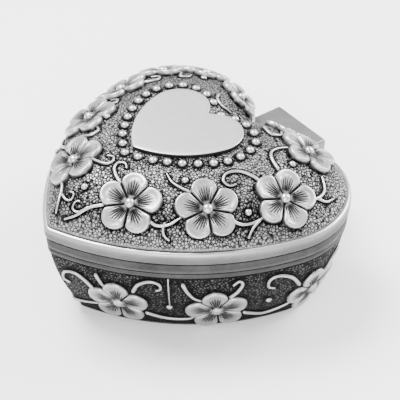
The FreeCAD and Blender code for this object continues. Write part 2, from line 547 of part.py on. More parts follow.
def main_wheel():
    """The crown wheel under the drum, its teeth standing up to the cylinder's pinion."""
    radius, plate = value("Dims.wheel_radius"), value("Dims.wheel_plate")
    teeth, tall = int(value("Dims.wheel_teeth")), value("Dims.crown_tooth")
    pitch = 2 * math.pi * value("Dims.wheel_pitch") / teeth
    disc = Part.makeCylinder(radius, plate)
    hub = Part.makeCylinder(value("Dims.arbor_radius + 1.6"), plate + tall)
    tooth = Part.makePolygon([Vector(0, y, z) for y, z in (
        (-pitch * 0.19, plate - 0.1), (pitch * 0.19, plate - 0.1), (pitch * 0.11, plate + tall),
        (-pitch * 0.11, plate + tall), (-pitch * 0.19, plate - 0.1))])
    tooth = Part.Face(tooth).extrude(Vector(value("Dims.crown_face") - 0.1, 0, 0))
    tooth.translate(Vector(radius - value("Dims.crown_face"), 0, 0))
    ring = []
    for i in range(teeth):
        one = tooth.copy()
        one.rotate(Vector(), Vector(0, 0, 1), 360 * (i + 0.5) / teeth)
        ring.append(one)
    solid = disc.fuse([hub] + ring)
    bore = Part.makeCylinder(value("Dims.arbor_radius + Dims.arbor_play"), 20, Vector(0, 0, -5))
    sub_part(shaped("wheel", solid.cut(bore), "Dims.drum_x", "Dims.drum_y",
                    f"{PLATE_TOP} + Dims.wheel_lift"), "main_wheel")


# ---------------------------------------------------------------- gears
def gear(teeth, pitch_radius, tip_radius, root_radius, width, bore, phase=0.0, thick=0.4):
    """A spur gear along +X from x = 0. A tooth points along +Y when phase is 0, in teeth."""
    flat = 2 * math.pi / teeth
    points = []
    for i in range(teeth):
        middle = flat * (i + phase)
        for radius, share in ((root_radius, -0.62), (pitch_radius, -0.5), (tip_radius, -0.26),
                              (tip_radius, 0.26), (pitch_radius, 0.5), (root_radius, 0.62)):
            turn = middle + flat * thick * share
            points.append(Vector(0, radius * math.cos(turn), radius * math.sin(turn)))
    face = Part.Face(Part.makePolygon(points + [points[0]]))
    solid = face.extrude(Vector(width, 0, 0))
    return solid.cut(Part.makeCylinder(bore, width + 2, Vector(-1, 0, 0), Vector(1, 0, 0)))


def cylinder():
    """The pinned cylinder, its shaft, the pinion that the main wheel drives and the gear that drives the governor."""
    radius, length = value("Dims.cylinder_radius"), value("Dims.cylinder_length")
    shaft = value("Dims.shaft_radius")
    tube = Part.makeCylinder(radius, length, Vector(), Vector(1, 0, 0))
    bore = Part.makeCylinder(radius - value("Dims.cylinder_wall"), length - 2 * value("Dims.cylinder_wall"),
                             Vector(value("Dims.cylinder_wall"), 0, 0), Vector(1, 0, 0))
    tube = tube.cut(bore).cut(Part.makeCylinder(shaft, length + 2, Vector(-1, 0, 0), Vector(1, 0, 0)))
    notes, steps = int(value("Dims.comb_notes")), 23
    pins = []
    for note in range(notes):
        x = length * (note + 0.5) / notes
        for beat in tune(note, steps):
            turn = 2 * math.pi * beat / steps
            out = Vector(0, math.cos(turn), math.sin(turn))
            pins.append(Part.makeCylinder(value("Dims.pin_radius"), value("Dims.pin_length") + 0.3,
                                          Vector(x, 0, 0) + out * (radius - 0.3), out))
    sub_part(shaped("cylinder_tube", tube.fuse(pins), "Dims.cylinder_start", "Dims.drum_y", AXIS),
             "pinned_cylinder")
    sub_part(rod("cylinder_rod", "Dims.shaft_radius",
                 f"{CYLINDER_END} + Dims.gear_width + 2.6 - Dims.pinion_start", "Dims.pinion_start",
                 "Dims.drum_y", AXIS, lying=True), "cylinder_shaft")
    pinion = gear(int(value("Dims.pinion_teeth")), value("Dims.pinion_pitch"), value("Dims.pinion_tip"), 3.5,
                  value("Dims.pinion_width"), shaft, phase=0.0, thick=0.36)
    sub_part(shaped("pinion", pinion, "Dims.pinion_start", "Dims.drum_y", AXIS), "cylinder_pinion")
    module = value("Dims.small_module")
    wheel = gear(int(value("Dims.gear_teeth")), value(GEAR_PITCH), value(GEAR_PITCH) + 0.7 * module,
                 value(GEAR_PITCH) - 1.1 * module, value("Dims.gear_width"), shaft, thick=0.32)
    sub_part(shaped("great_gear", wheel, CYLINDER_END, "Dims.drum_y", AXIS), "cylinder_gear")


def tune(note, steps):
    """The beats on which a note's pins stand: a made-up broken-chord pattern."""
    return [beat for beat in range(steps) if (beat * 5 + note * 7 + note * note) % 11 == 0]


def brackets():
    """The two bearing plates of the cylinder shaft, standing on the bedplate."""
    thick = "Dims.bracket_thickness"
    places = {
        "left": "Dims.cylinder_start - Dims.bracket_gap - Dims.bracket_thickness",
        "right": f"{CYLINDER_END} + Dims.gear_width + Dims.bracket_gap",
    }
    for side, x in places.items():
        post = box(f"bracket_post_{side}", thick, "5", "Dims.axis_height - Dims.plate_thickness", x,
                   "Dims.drum_y - 2.5", PLATE_TOP)
        eye = rod(f"bracket_eye_{side}", "2.5", thick, x, "Dims.drum_y", AXIS, lying=True)
        bore = rod(f"bracket_bore_{side}", "Dims.shaft_radius + Dims.shaft_play", "4", f"({x}) - 1",
                   "Dims.drum_y", AXIS, lying=True)
        sub_part(cut(f"bracket_{side}", fuse(f"bracket_blank_{side}", post, eye), bore),
                 f"cylinder_bracket_{side}")


def comb():
    """The steel comb: a screwed-down back and eighteen reeds, longest for the lowest note."""
    notes, length = int(value("Dims.comb_notes")), value("Dims.cylinder_length")
    pitch, reed = length / notes, value("Dims.comb_reed")
    thick, back = value("Dims.comb_thickness"), value("Dims.comb_base")
    plate = Part.makeBox(length + 2, back, thick, Vector(-1, 0, 0))
    reeds = []
    for note in range(notes):
        wide = pitch - value("Dims.comb_slot")
        heel = back + 2.6 * note / (notes - 1)
        left = Vector(pitch * note + value("Dims.comb_slot") / 2, 0, 0)
        reeds.append(Part.makeBox(wide, heel, thick, left + Vector(0, 0.5, 0)))
        reeds.append(Part.makeBox(wide, back + reed, thick * 0.55, left + Vector(0, 0, thick * 0.225)))
    solid = plate.fuse(reeds).removeSplitter()
    for x in comb_screw_places():
        hole = Part.makeCylinder(value("Dims.comb_screw_radius + Dims.screw_play"), thick + 2,
                                 Vector(value(x) - value("Dims.cylinder_start"), back / 2, -1))
        solid = solid.cut(hole)
    sub_part(shaped("comb_blank", solid, "Dims.cylinder_start", COMB_BACK,
                    f"{AXIS} - Dims.comb_thickness / 2"), "comb")


# ---------------------------------------------------------------- governor and stop
def governor():
    """The air brake: a pinion and worm wheel on a lying shaft, an upright worm with its fan, and their frame."""
    module = value("Dims.small_module")
    pinion_pitch = value("Dims.gov_pinion_teeth") * module / 2
    teeth = int(value("Dims.gov_pinion_teeth"))
    pinion = gear(teeth, pinion_pitch, pinion_pitch + 0.6 * module, pinion_pitch - 1.1 * module,
                  value("Dims.gear_width"), value("Dims.gov_shaft_radius"), phase=0.5 if teeth % 2 == 0 else 0.0,
                  thick=0.3)
    sub_part(shaped("gov_pinion", pinion, CYLINDER_END, GOV_Y, AXIS), "governor_pinion")
    wheel_pitch = value("Dims.gov_gear_teeth") * module / 2
    wheel = gear(int(value("Dims.gov_gear_teeth")), wheel_pitch, wheel_pitch + 0.7 * module,
                 wheel_pitch - 1.1 * module, value("Dims.gov_gear_width"), value("Dims.gov_shaft_radius"),
                 thick=0.4)
    sub_part(shaped("gov_wheel", wheel, "Dims.gov_gear_x - Dims.gov_gear_width / 2", GOV_Y, AXIS), "worm_wheel")
    start = f"({CYLINDER_END} - 0.2)"
    sub_part(rod("gov_rod", "Dims.gov_shaft_radius", f"Dims.gov_gear_x + 2.2 - {start}", start, GOV_Y, AXIS,
                 lying=True), "governor_shaft")
    worm()
    frame()


def worm():
    """The upright worm and, above it, the two-bladed fan."""
    core, tip = 0.5, value("Dims.worm_radius - 0.7 * Dims.small_module - 0.06")
    pitch = math.pi * value("Dims.small_module")
    tall = 4.0
    helix = Part.makeHelix(pitch, tall, core)
    ridge = Part.makePolygon([Vector(core - 0.15, 0, -0.3 * pitch), Vector(tip, 0, -0.1 * pitch),
                              Vector(tip, 0, 0.1 * pitch), Vector(core - 0.15, 0, 0.3 * pitch),
                              Vector(core - 0.15, 0, -0.3 * pitch)])
    thread = Part.Wire(helix).makePipeShell([ridge], True, True)
    length = value(f"{PLATE_TOP} - 1 + Dims.gov_frame_top - 0.4 - {PLATE_TOP}")
    shaft = Part.makeCylinder(core, length)
    thread.translate(Vector(0, 0, value(f"{AXIS} - {PLATE_TOP} + 1") - tall / 2))
    sub_part(shaped("worm_rod", shaft.fuse(thread), "Dims.gov_gear_x", WORM_Y, f"{PLATE_TOP} - 1"), "worm")
    fan_z = f"({PLATE_TOP} + Dims.gov_frame_top - Dims.fan_height - 1.2)"
    hub = rod("fan_hub", "1.1", "Dims.fan_height", "Dims.gov_gear_x", WORM_Y, fan_z)
    blade = box("fan_blade", "2 * Dims.fan_radius", "Dims.fan_thickness", "Dims.fan_height",
                "Dims.gov_gear_x - Dims.fan_radius", f"{WORM_Y} - Dims.fan_thickness / 2", fan_z)
    bore = rod("fan_bore", "Dims.gov_shaft_radius", "Dims.fan_height + 2", "Dims.gov_gear_x", WORM_Y,
               f"{fan_z} - 1")
    sub_part(cut("fan_solid", fuse("fan_blank", hub, blade), bore), "fan")


def frame():
    """The governor's frame: a side plate for the lying shaft and a bridge over the fan, with its two screws."""
    thick = "Dims.gov_plate"
    side_x = "(Dims.gov_gear_x + 1.3)"
    upright = box("gov_upright", thick, "12", "Dims.gov_frame_top", side_x, f"{GOV_Y} - 1.6", PLATE_TOP)
    bridge = box("gov_bridge", "4.2", "4.4", thick, f"{side_x} - 4.2 + {thick}", f"{WORM_Y} - 2.2",
                 f"{PLATE_TOP} + Dims.gov_frame_top - Dims.gov_plate")
    foot = box("gov_foot", "3.4", "3.6", "0.8", f"{side_x} - 3.4", f"{WORM_Y} + 1.9", PLATE_TOP)
    shaft_bore = rod("gov_side_bore", "Dims.gov_shaft_radius + Dims.shaft_play", "6", f"{side_x} - 2", GOV_Y,
                     AXIS, lying=True)
    pivot = rod("gov_top_bore", "Dims.gov_shaft_radius + Dims.shaft_play", "6", "Dims.gov_gear_x", WORM_Y,
                f"{PLATE_TOP} + Dims.gov_frame_top - 3")
    tail = box("gov_fan_room", "6", "9", "Dims.fan_height + 0.8", f"{side_x} - 1", f"{WORM_Y} - 4.5",
               f"{PLATE_TOP} + Dims.gov_frame_top - Dims.fan_height - 1.6")
    sub_part(cut("gov_frame", fuse("gov_blank", upright, bridge, foot), shaft_bore, pivot, tail),
             "governor_frame")


def stop():
    """The spring rod that the lid presses down to hold the fan, and the guide it slides in."""
    top = f"({LINING_Z} - 0.1)"
    bottom = f"({PLATE_TOP} + Dims.rod_foot)"
    upright = rod("stop_wire", "Dims.rod_radius", f"{top} - {bottom}", "Dims.rod_x", "Dims.rod_y", bottom)
    across = f"({WORM_Y} - Dims.rod_y)"
    along = "(Dims.gov_gear_x - Dims.rod_x)"
    arm = doc.addObject("Part::Cylinder", "stop_arm")
    arm.Placement.Rotation = FreeCAD.Rotation(Vector(0, 0, 1), Vector(value(along), value(across), 0))
    bind(arm, Radius="Dims.rod_radius * 0.7", x="Dims.rod_x", y="Dims.rod_y",
         Height=f"sqrt({along} ^ 2 + {across} ^ 2) - Dims.fan_radius - Dims.fan_room",
         z=f"{PLATE_TOP} + Dims.gov_frame_top - Dims.fan_height")
    sub_part(fuse("stop_solid", upright, arm), "stop_rod")
    tube = rod("stop_tube", "Dims.guide_radius", "Dims.guide_height", "Dims.rod_x", "Dims.rod_y", PLATE_TOP)
    bore = rod("stop_bore", "Dims.rod_radius + Dims.rod_play", "Dims.guide_height", "Dims.rod_x",
               "Dims.rod_y", f"{PLATE_TOP} + 1")
    sub_part(cut("stop_guide_solid", tube, bore), "stop_guide")


def check():
    """Raises if any object failed or any sub-part isn't a sound solid."""
    failed = [thing.Name for thing in doc.Objects if {"Invalid", "Error"} & set(thing.State)]
    unsound = [part.Label for part in SUB_PARTS if part.Shape.isNull() or not part.Shape.isValid()
               or not part.Shape.Solids]
    if failed or unsound:
        raise RuntimeError(f"failed: {failed}, unsound: {unsound}")


def main():
    """Builds every sub-part and writes its STEP file."""
    for build in (case_body, lid_shell, trim, insert_tray, movement_cover, movement_bedplate,
                  spring_housing, mainspring, fasteners, winding, main_wheel, cylinder, brackets, comb,
                  governor, stop):
        build()
    doc.recompute()
    check()
    os.makedirs("parts", exist_ok=True)
    for part in SUB_PARTS:
        part.Shape.exportStep(f"parts/{part.Label}.step")
        print(f"{part.Label:24s} {len(part.Shape.Solids):3d} solids {part.Shape.Volume:10.2f} mm3")


main()
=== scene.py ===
"""The looks of a heart-shaped wind-up music box: cast relief, hinge, velvet, and the movement's finishes.

Sizes are in millimetres in the classes and are turned into metres where meshes are made. The frame is the
part's own: +Z up from the table, +Y from the heart's tip to its hinge, +X to the right.
"""
import logging
import math
from dataclasses import dataclass, field
from enum import Enum
from typing import Iterable, Optional, Sequence

import bpy
import numpy as np
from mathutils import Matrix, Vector
from mathutils.bvhtree import BVHTree
from mathutils.kdtree import KDTree


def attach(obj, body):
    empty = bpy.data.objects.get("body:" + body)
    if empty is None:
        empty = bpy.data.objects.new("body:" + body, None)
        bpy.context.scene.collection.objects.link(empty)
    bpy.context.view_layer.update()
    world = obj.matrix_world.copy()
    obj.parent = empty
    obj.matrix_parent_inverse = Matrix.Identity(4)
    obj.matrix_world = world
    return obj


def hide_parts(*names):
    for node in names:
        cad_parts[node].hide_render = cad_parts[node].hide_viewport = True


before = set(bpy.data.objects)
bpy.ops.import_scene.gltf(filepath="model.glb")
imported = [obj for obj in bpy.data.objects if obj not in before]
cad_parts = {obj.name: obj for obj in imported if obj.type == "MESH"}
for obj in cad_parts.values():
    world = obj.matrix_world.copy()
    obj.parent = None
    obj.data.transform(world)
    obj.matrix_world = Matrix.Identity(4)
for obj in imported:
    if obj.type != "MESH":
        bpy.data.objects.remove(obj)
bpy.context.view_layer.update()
MM = 0.001
LOG = logging.getLogger("music_box")
Array = np.ndarray
Piece = bpy.types.Object
Material = bpy.types.Material
Faces = list[tuple[int, ...]]
Colour = tuple[float, float, float]


# --- shader sums
class Term:
    """A node's output that can be used in Python sums."""

    def __init__(self, tree: "Tree", socket: bpy.types.NodeSocket) -> None:
        """Keeps the tree, so that sums can add nodes to it."""
        self.tree = tree
        self.socket = socket

    def maths(self, operation: str, *values: "Term | float") -> "Term":
        """A Math node on some values."""
        return self.tree.node("ShaderNodeMath", {"operation": operation}, dict(enumerate(values)))

    def __add__(self, other: "Term | float") -> "Term":
        """Sum."""
        return self.maths("ADD", self, other)

    __radd__ = __add__

    def __sub__(self, other: "Term | float") -> "Term":
        """Difference."""
        return self.maths("SUBTRACT", self, other)

    def __rsub__(self, other: "Term | float") -> "Term":
        """Difference from a number."""
        return self.maths("SUBTRACT", other, self)

    def __mul__(self, other: "Term | float") -> "Term":
        """Product."""
        return self.maths("MULTIPLY", self, other)

    __rmul__ = __mul__

    def clamped(self) -> "Term":
        """The value held between 0 and 1."""
        return self.tree.node("ShaderNodeClamp", {}, {0: self})


class Tree:
    """A material's nodes, built from Python."""

    def __init__(self, name: str) -> None:
        """Starts an empty material with one principled shader."""
        self.material = bpy.data.materials.new(name)
        self.material.use_nodes = True
        self.nodes = self.material.node_tree.nodes
        self.links = self.material.node_tree.links
        self.shader = self.nodes["Principled BSDF"]

    def node(self, kind: str, settings: dict, inputs: dict, output: int | str = 0) -> Term:
        """Adds a node.

        Args:
            kind: the node's type.
            settings: its properties, set first; "stops" holds a ramp's positions and colours.
            inputs: values or terms by socket name or number.
            output: which output to return.

        Returns:
            The chosen output.
        """
        made = self.nodes.new(kind)
        for key, value in settings.items():
            if key == "stops":
                ramp = made.color_ramp.elements
                while len(ramp) < len(value):
                    ramp.new(0.5)
                for element, (place, shade) in zip(ramp, value):
                    element.position = place
                    element.color = (*shade, 1.0) if isinstance(shade, tuple) else (shade, shade, shade, 1.0)
            else:
                setattr(made, key, value)
        for key, value in inputs.items():
            self.feed(made.inputs[key], value)
        return Term(self, made.outputs[output])

    def feed(self, socket: bpy.types.NodeSocket, value: "Term | float | tuple") -> None:
        """Links a term to a socket, or sets the socket's value."""
        if isinstance(value, Term):
            self.links.new(value.socket, socket)
        elif isinstance(value, tuple) and len(value) == 3 and socket.type == "RGBA":
            socket.default_value = (*value, 1.0)
        else:
            socket.default_value = value

    def mix(self, factor: "Term | float", first: "Term | Colour", second: "Term | Colour",
            way: str = "MIX") -> Term:
        """A mix of two colours."""
        return self.node("ShaderNodeMix", {"data_type": "RGBA", "blend_type": way},
                         {0: factor, 6: first, 7: second}, 2)

    def place(self, scale: Colour = (1.0, 1.0, 1.0), turn: Colour = (0.0, 0.0, 0.0)) -> Term:
        """Object coordinates, scaled and turned."""
        raw = self.node("ShaderNodeTexCoord", {}, {}, "Object")
        return self.node("ShaderNodeMapping", {}, {"Vector": raw, "Scale": scale, "Rotation": turn})

    def noise(self, where: Term, size: float, detail: float = 3.0, roughness: float = 0.5) -> Term:
        """Smooth noise whose lumps are about size metres across."""
        return self.node("ShaderNodeTexNoise", {}, {"Vector": where, "Scale": 1.0 / size, "Detail": detail,
                                                    "Roughness": roughness})

    def mask(self, name: str) -> Term:
        """A number painted on the mesh's points."""
        return self.node("ShaderNodeAttribute", {"attribute_name": name}, {}, "Fac")

    def ramp(self, value: Term, *stops: tuple) -> Term:
        """A ramp through stops of place and shade."""
        return self.node("ShaderNodeValToRGB", {"stops": stops}, {0: value})

    def bump(self, height: Term, depth: float, strength: float = 1.0,
             under: Optional[Term] = None) -> Term:
        """A bump of a depth in metres, on another normal where one is given."""
        inputs = {"Strength": strength, "Distance": depth, "Height": height}
        if under is not None:
            inputs["Normal"] = under
        return self.node("ShaderNodeBump", {}, inputs)

    def finish(self, **sockets: "Term | float | tuple") -> Material:
        """Sets the shader's sockets by name, with underscores for spaces, and returns the material."""
        for key, value in sockets.items():
            self.feed(self.shader.inputs[key.replace("_", " ")], value)
        return self.material


# --- finishes
@dataclass(frozen=True)
class AntiquedPewter:
    """Cast metal, darkened all over and rubbed bright on its high points; its ground is close pebbles."""
    name: str
    hollow: Colour = (0.005, 0.005, 0.0055)
    middle: Colour = (0.13, 0.13, 0.131)
    rubbed: Colour = (0.56, 0.56, 0.555)
    rough: float = 0.40
    pebble: float = 0.00086
    pebble_depth: float = 0.00013
    pebble_shine: float = 0.66
    ground_dark: float = 0.54

    def make(self) -> Material:
        """Builds the material; it reads the mesh's wear mask, which holds both rubbing and painted shade, and its
        ground mask.
        """
        tree = Tree(self.name)
        where = tree.place()
        wear, ground = tree.mask("wear"), tree.mask("ground")
        cloud = tree.noise(where, 0.009, 3.0, 0.6)
        fine = tree.noise(where, 0.00040, 4.0, 0.65)
        edge = tree.node("ShaderNodeTexVoronoi", {"feature": "DISTANCE_TO_EDGE"},
                         {"Vector": where, "Scale": 1.0 / self.pebble, "Randomness": 0.92}, "Distance")
        stones = tree.ramp(edge, (0.02, 0.0), (0.13, 0.55), (0.34, 1.0)) * ground
        # The wear mask brightens rubbed high points and darkens patina and painted shade; the pebbles and the
        # ground's darkening are the cast ground's patina.
        wear_shade_mix = (wear + stones * self.pebble_shine - ground * self.ground_dark + (cloud - 0.5) * 0.20
                + (fine - 0.5) * 0.16).clamped()
        shade = tree.ramp(wear_shade_mix, (0.0, self.hollow), (0.34, self.middle), (0.62, (0.36, 0.36, 0.358)),
                          (1.0, self.rubbed))
        rough = tree.ramp(wear_shade_mix, (0.0, 0.72), (0.5, self.rough + 0.06), (1.0, self.rough - 0.08))
        grain = tree.bump(fine, 0.00002, 0.7, tree.bump(cloud, 0.00006))
        return tree.finish(Base_Color=shade, Roughness=rough, Metallic=1.0,
                           Normal=tree.bump(stones, self.pebble_depth, 1.0, grain))


@dataclass(frozen=True)
class BrushedPlate:
    """Flat metal with fine straight brushing."""
    name: str
    colour: Colour = (0.80, 0.80, 0.795)
    angle: float = 0.75
    rough: float = 0.38

    def make(self) -> Material:
        """Builds the material; its lines run at an angle in the plan."""
        tree = Tree(self.name)
        lines = tree.place((0.06, 1.0, 1.0), (0.0, 0.0, self.angle))
        fine = tree.noise(lines, 0.00022, 2.0, 0.8)
        broad = tree.noise(lines, 0.0011, 2.0, 0.6)
        cloud = tree.noise(tree.place(), 0.012, 2.0, 0.5)
        edge = tree.mask("wear")
        streak = (fine * 0.5 + broad * 0.3 + cloud * 0.2).clamped()
        shade = tree.ramp(streak, (0.30, tuple(c * 0.62 for c in self.colour)), (0.66, self.colour))
        # Where the wear mask is low, on the plate's sides, the colour goes near black: painted shadow round the
        # plate's foot.
        shade = tree.mix((1.0 - edge).clamped(), shade, (0.03, 0.03, 0.031))
        rough = tree.ramp(streak, (0.2, self.rough + 0.10), (0.8, self.rough - 0.06))
        return tree.finish(Base_Color=shade, Roughness=rough, Metallic=1.0,
                           Normal=tree.bump(fine, 0.000008, 0.6))


@dataclass(frozen=True)
class MachinedMetal:
    """Turned, stamped or plated metal, with fine marks, tarnish and small pits."""
    name: str
    colour: Colour
    rough: float = 0.28
    stretch: Colour = (1.0, 1.0, 1.0)
    tarnish: float = 0.35
    marks: float = 0.00018

    def make(self) -> Material:
        """Builds the material."""
        tree = Tree(self.name)
        where = tree.place(self.stretch)
        marks = tree.noise(where, self.marks, 3.0, 0.7)
        cloud = tree.noise(tree.place(), 0.0035, 3.0, 0.55)
        dull = tuple(c * (1.0 - self.tarnish) for c in self.colour)
        shade = tree.ramp((cloud * 0.7 + marks * 0.3).clamped(), (0.32, dull), (0.62, self.colour))
        rough = tree.ramp((cloud * 0.5 + marks * 0.5).clamped(), (0.25, self.rough + 0.14),
                          (0.75, max(self.rough - 0.06, 0.05)))
        return tree.finish(Base_Color=shade, Roughness=rough, Metallic=1.0,
                           Normal=tree.bump(marks, 0.000006, 0.7))


@dataclass(frozen=True)
class Flock:
    """Velvet or flocking: short dark pile with a soft sheen."""
    name: str
    colour: Colour = (0.008, 0.0075, 0.009)
    pile: float = 0.00028

    def make(self) -> Material:
        """Builds the material."""
        tree = Tree(self.name)
        where = tree.place()
        pile = tree.noise(where, self.pile, 2.0, 0.8)
        brushed = tree.noise(tree.place((1.0, 0.6, 1.0), (0.0, 0.0, 0.5)), 0.016, 3.0, 0.5)
        tone = (pile * 0.5 + brushed * 0.5).clamped()
        light = tuple(min(c * 2.0 + 0.004, 1.0) for c in self.colour)
        shade = tree.ramp(tone, (0.3, tuple(c * 0.55 for c in self.colour)), (0.7, light))
        tree.shader.inputs["Sheen Weight"].default_value = 0.07
        tree.shader.inputs["Sheen Roughness"].default_value = 0.35
        tree.shader.inputs["Sheen Tint"].default_value = (0.55, 0.53, 0.60, 1.0)
        tree.shader.inputs["Specular IOR Level"].default_value = 0.06
        return tree.finish(Base_Color=shade, Roughness=0.95, Normal=tree.bump(pile, 0.00009, 0.9))


@dataclass(frozen=True)
class ClearAcrylic:
    """Thin clear plastic with faint moulding haze."""
    name: str

    def make(self) -> Material:
        """Builds the material."""
        tree = Tree(self.name)
        haze = tree.noise(tree.place(), 0.004, 2.0, 0.5)
        tree.shader.inputs["IOR"].default_value = 1.49
        rough = tree.ramp(haze, (0.3, 0.03), (0.8, 0.09))
        return tree.finish(Base_Color=(0.10, 0.11, 0.115), Roughness=rough,
                           Alpha=tree.ramp(haze, (0.3, 0.04), (0.8, 0.07)))


@dataclass(frozen=True)
class Moulded:
    """Moulded plastic with a fine texture."""
    name: str
    colour: Colour
    rough: float = 0.45

    def make(self) -> Material:
        """Builds the material."""
        tree = Tree(self.name)
        grain = tree.noise(tree.place(), 0.00015, 2.0, 0.6)
        shade = tree.ramp(grain, (0.3, tuple(c * 0.8 for c in self.colour)), (0.7, self.colour))
        rough = tree.ramp(grain, (0.3, self.rough + 0.08), (0.7, self.rough - 0.05))
        return tree.finish(Base_Color=shade, Roughness=rough, Normal=tree.bump(grain, 0.00001, 0.6))


@dataclass(frozen=True)
class Backdrop:
    """The pale floor under the box."""
    name: str = "floor_white"

    def make(self) -> Material:
        """Builds the material."""
        tree = Tree(self.name)
        return tree.finish(Base_Color=(0.97, 0.97, 0.97), Roughness=0.9)


class Finish(Enum):
    """Every finish on the object."""
    PEWTER = AntiquedPewter("antiqued_pewter")
    # A darker copy of the same pewter for the case: painted shade on the bowl's side.
    PEWTER_LOW = AntiquedPewter("antiqued_pewter_shaded_side", middle=(0.085, 0.085, 0.086), rubbed=(0.40, 0.40, 0.397))
    PLAQUE = BrushedPlate("brushed_heart")
    PIN = MachinedMetal("hinge_pin_steel", (0.42, 0.42, 0.42), 0.35)
    VELVET = Flock("black_velvet")
    FLOCK = Flock("black_flock", (0.020, 0.019, 0.022), 0.00022)
    COVER = ClearAcrylic("acrylic_cover")
    PLATE = MachinedMetal("cast_plate", (0.20, 0.20, 0.205), 0.45, (1.0, 1.0, 1.0), 0.30, 0.0004)
    NICKEL = MachinedMetal("nickel_plate", (0.46, 0.455, 0.435), 0.22, (1.0, 1.0, 0.1), 0.22)
    SPRING = MachinedMetal("blued_spring", (0.16, 0.20, 0.30), 0.30, (1.0, 1.0, 0.2), 0.4)
    SCREW = MachinedMetal("plated_screws", (0.44, 0.44, 0.44), 0.25)
    SHAFT = MachinedMetal("ground_shaft", (0.40, 0.40, 0.41), 0.22, (8.0, 1.0, 1.0), 0.2)
    BRASS = MachinedMetal("cut_brass", (0.62, 0.40, 0.12), 0.24, (1.0, 1.0, 1.0), 0.34)
    COMB = MachinedMetal("hardened_comb", (0.34, 0.345, 0.36), 0.24, (1.0, 0.1, 1.0), 0.28)
    PLASTIC = Moulded("fan_plastic", (0.045, 0.045, 0.05))
    FRAME = MachinedMetal("bent_brass", (0.56, 0.38, 0.14), 0.32)
    FLOOR = Backdrop()

    def material(self) -> Material:
        """The finish's material, made the first time that it's asked for."""
        return bpy.data.materials.get(self.value.name) or self.value.make()


# --- mesh helpers
def clear_selection() -> None:
    """Leaves object mode with nothing selected."""
    if bpy.context.object and bpy.context.object.mode != "OBJECT":
        bpy.ops.object.mode_set(mode="OBJECT")
    bpy.ops.object.select_all(action="DESELECT")


def choose(thing: Piece) -> None:
    """Selects one object and makes it active."""
    clear_selection()
    thing.select_set(True)
    bpy.context.view_layer.objects.active = thing


def linked(name: str, data: bpy.types.ID) -> Piece:
    """A new object in the scene that holds some data."""
    made = bpy.data.objects.new(name, data)
    bpy.context.scene.collection.objects.link(made)
    return made


def object_from(name: str, points: Array, faces: Sequence[Sequence[int]]) -> Piece:
    """A mesh object from points in millimetres and faces."""
    mesh = bpy.data.meshes.new(name)
    mesh.from_pydata((np.asarray(points, float) * MM).tolist(), [], [list(face) for face in faces])
    mesh.update()
    return linked(name, mesh)


def settle(thing: Piece) -> Piece:
    """Moves an object's place into its mesh."""
    choose(thing)
    bpy.ops.object.transform_apply(location=True, rotation=True, scale=True)
    return thing


def outward(thing: Piece, merge: float = 0.002) -> Piece:
    """Merges doubles within a distance in millimetres and turns every face outwards."""
    choose(thing)
    bpy.ops.object.mode_set(mode="EDIT")
    bpy.ops.mesh.select_all(action="SELECT")
    if merge:
        bpy.ops.mesh.remove_doubles(threshold=merge * MM)
    bpy.ops.mesh.normals_make_consistent(inside=False)
    bpy.ops.object.mode_set(mode="OBJECT")
    return thing


def smooth(thing: Piece, angle: float = 40.0) -> Piece:
    """Shades smooth, keeping edges sharper than an angle in degrees."""
    choose(thing)
    bpy.ops.object.shade_smooth_by_angle(angle=math.radians(angle))
    return thing


def apply_modifier(thing: Piece, kind: str, **settings: object) -> Piece:
    """Adds a modifier with its settings and applies it."""
    modifier = thing.modifiers.new(kind.lower(), kind)
    for key, value in settings.items():
        setattr(modifier, key, value)
    choose(thing)
    bpy.ops.object.modifier_apply(modifier=modifier.name)
    return thing


def paint(thing: Piece, values: "Array | float", name: str = "wear") -> Piece:
    """Stores a number on each point of a mesh."""
    mesh = thing.data
    layer = mesh.attributes.get(name) or mesh.attributes.new(name, "FLOAT", "POINT")
    full = np.broadcast_to(np.asarray(values, np.float32), (len(mesh.vertices),))
    layer.data.foreach_set("value", np.ascontiguousarray(full))
    return thing


def join(name: str, things: Sequence[Piece]) -> Piece:
    """Joins objects into one."""
    clear_selection()
    for thing in things:
        thing.select_set(True)
    bpy.context.view_layer.objects.active = things[0]
    bpy.ops.object.join()
    things[0].name = name
    things[0].data.name = name
    return things[0]


def dress(thing: Piece, finish: Finish) -> None:
    """Gives a piece one finish in place of those that it has."""
    thing.data.materials.clear()
    thing.data.materials.append(finish.material())


def finished(thing: Piece, body: str, finish: Finish,
             replaces: Sequence[str] = ()) -> Piece:
    """Gives a piece its material and body, and hides the nodes that it stands for."""
    dress(thing, finish)
    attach(thing, body)
    if replaces:
        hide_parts(*replaces)
    LOG.info("%s: %d faces on %s", thing.name, len(thing.data.polygons), body)
    return thing


def block(name: str, low: Sequence[float], high: Sequence[float], bevel: float = 0.0,
          segments: int = 3) -> Piece:
    """A box between two corners in millimetres, its edges rounded by a bevel."""
    clear_selection()
    middle = [(a + b) / 2 * MM for a, b in zip(low, high)]
    bpy.ops.mesh.primitive_cube_add(size=1.0, location=middle)
    made = bpy.context.object
    made.name = name
    made.scale = [(b - a) * MM for a, b in zip(low, high)]
    settle(made)
    if bevel:
        bpy.ops.object.mode_set(mode="EDIT")
        bpy.ops.mesh.select_all(action="SELECT")
        bpy.ops.mesh.bevel(offset=bevel * MM, segments=segments, affect="EDGES")
        bpy.ops.object.mode_set(mode="OBJECT")
    return made


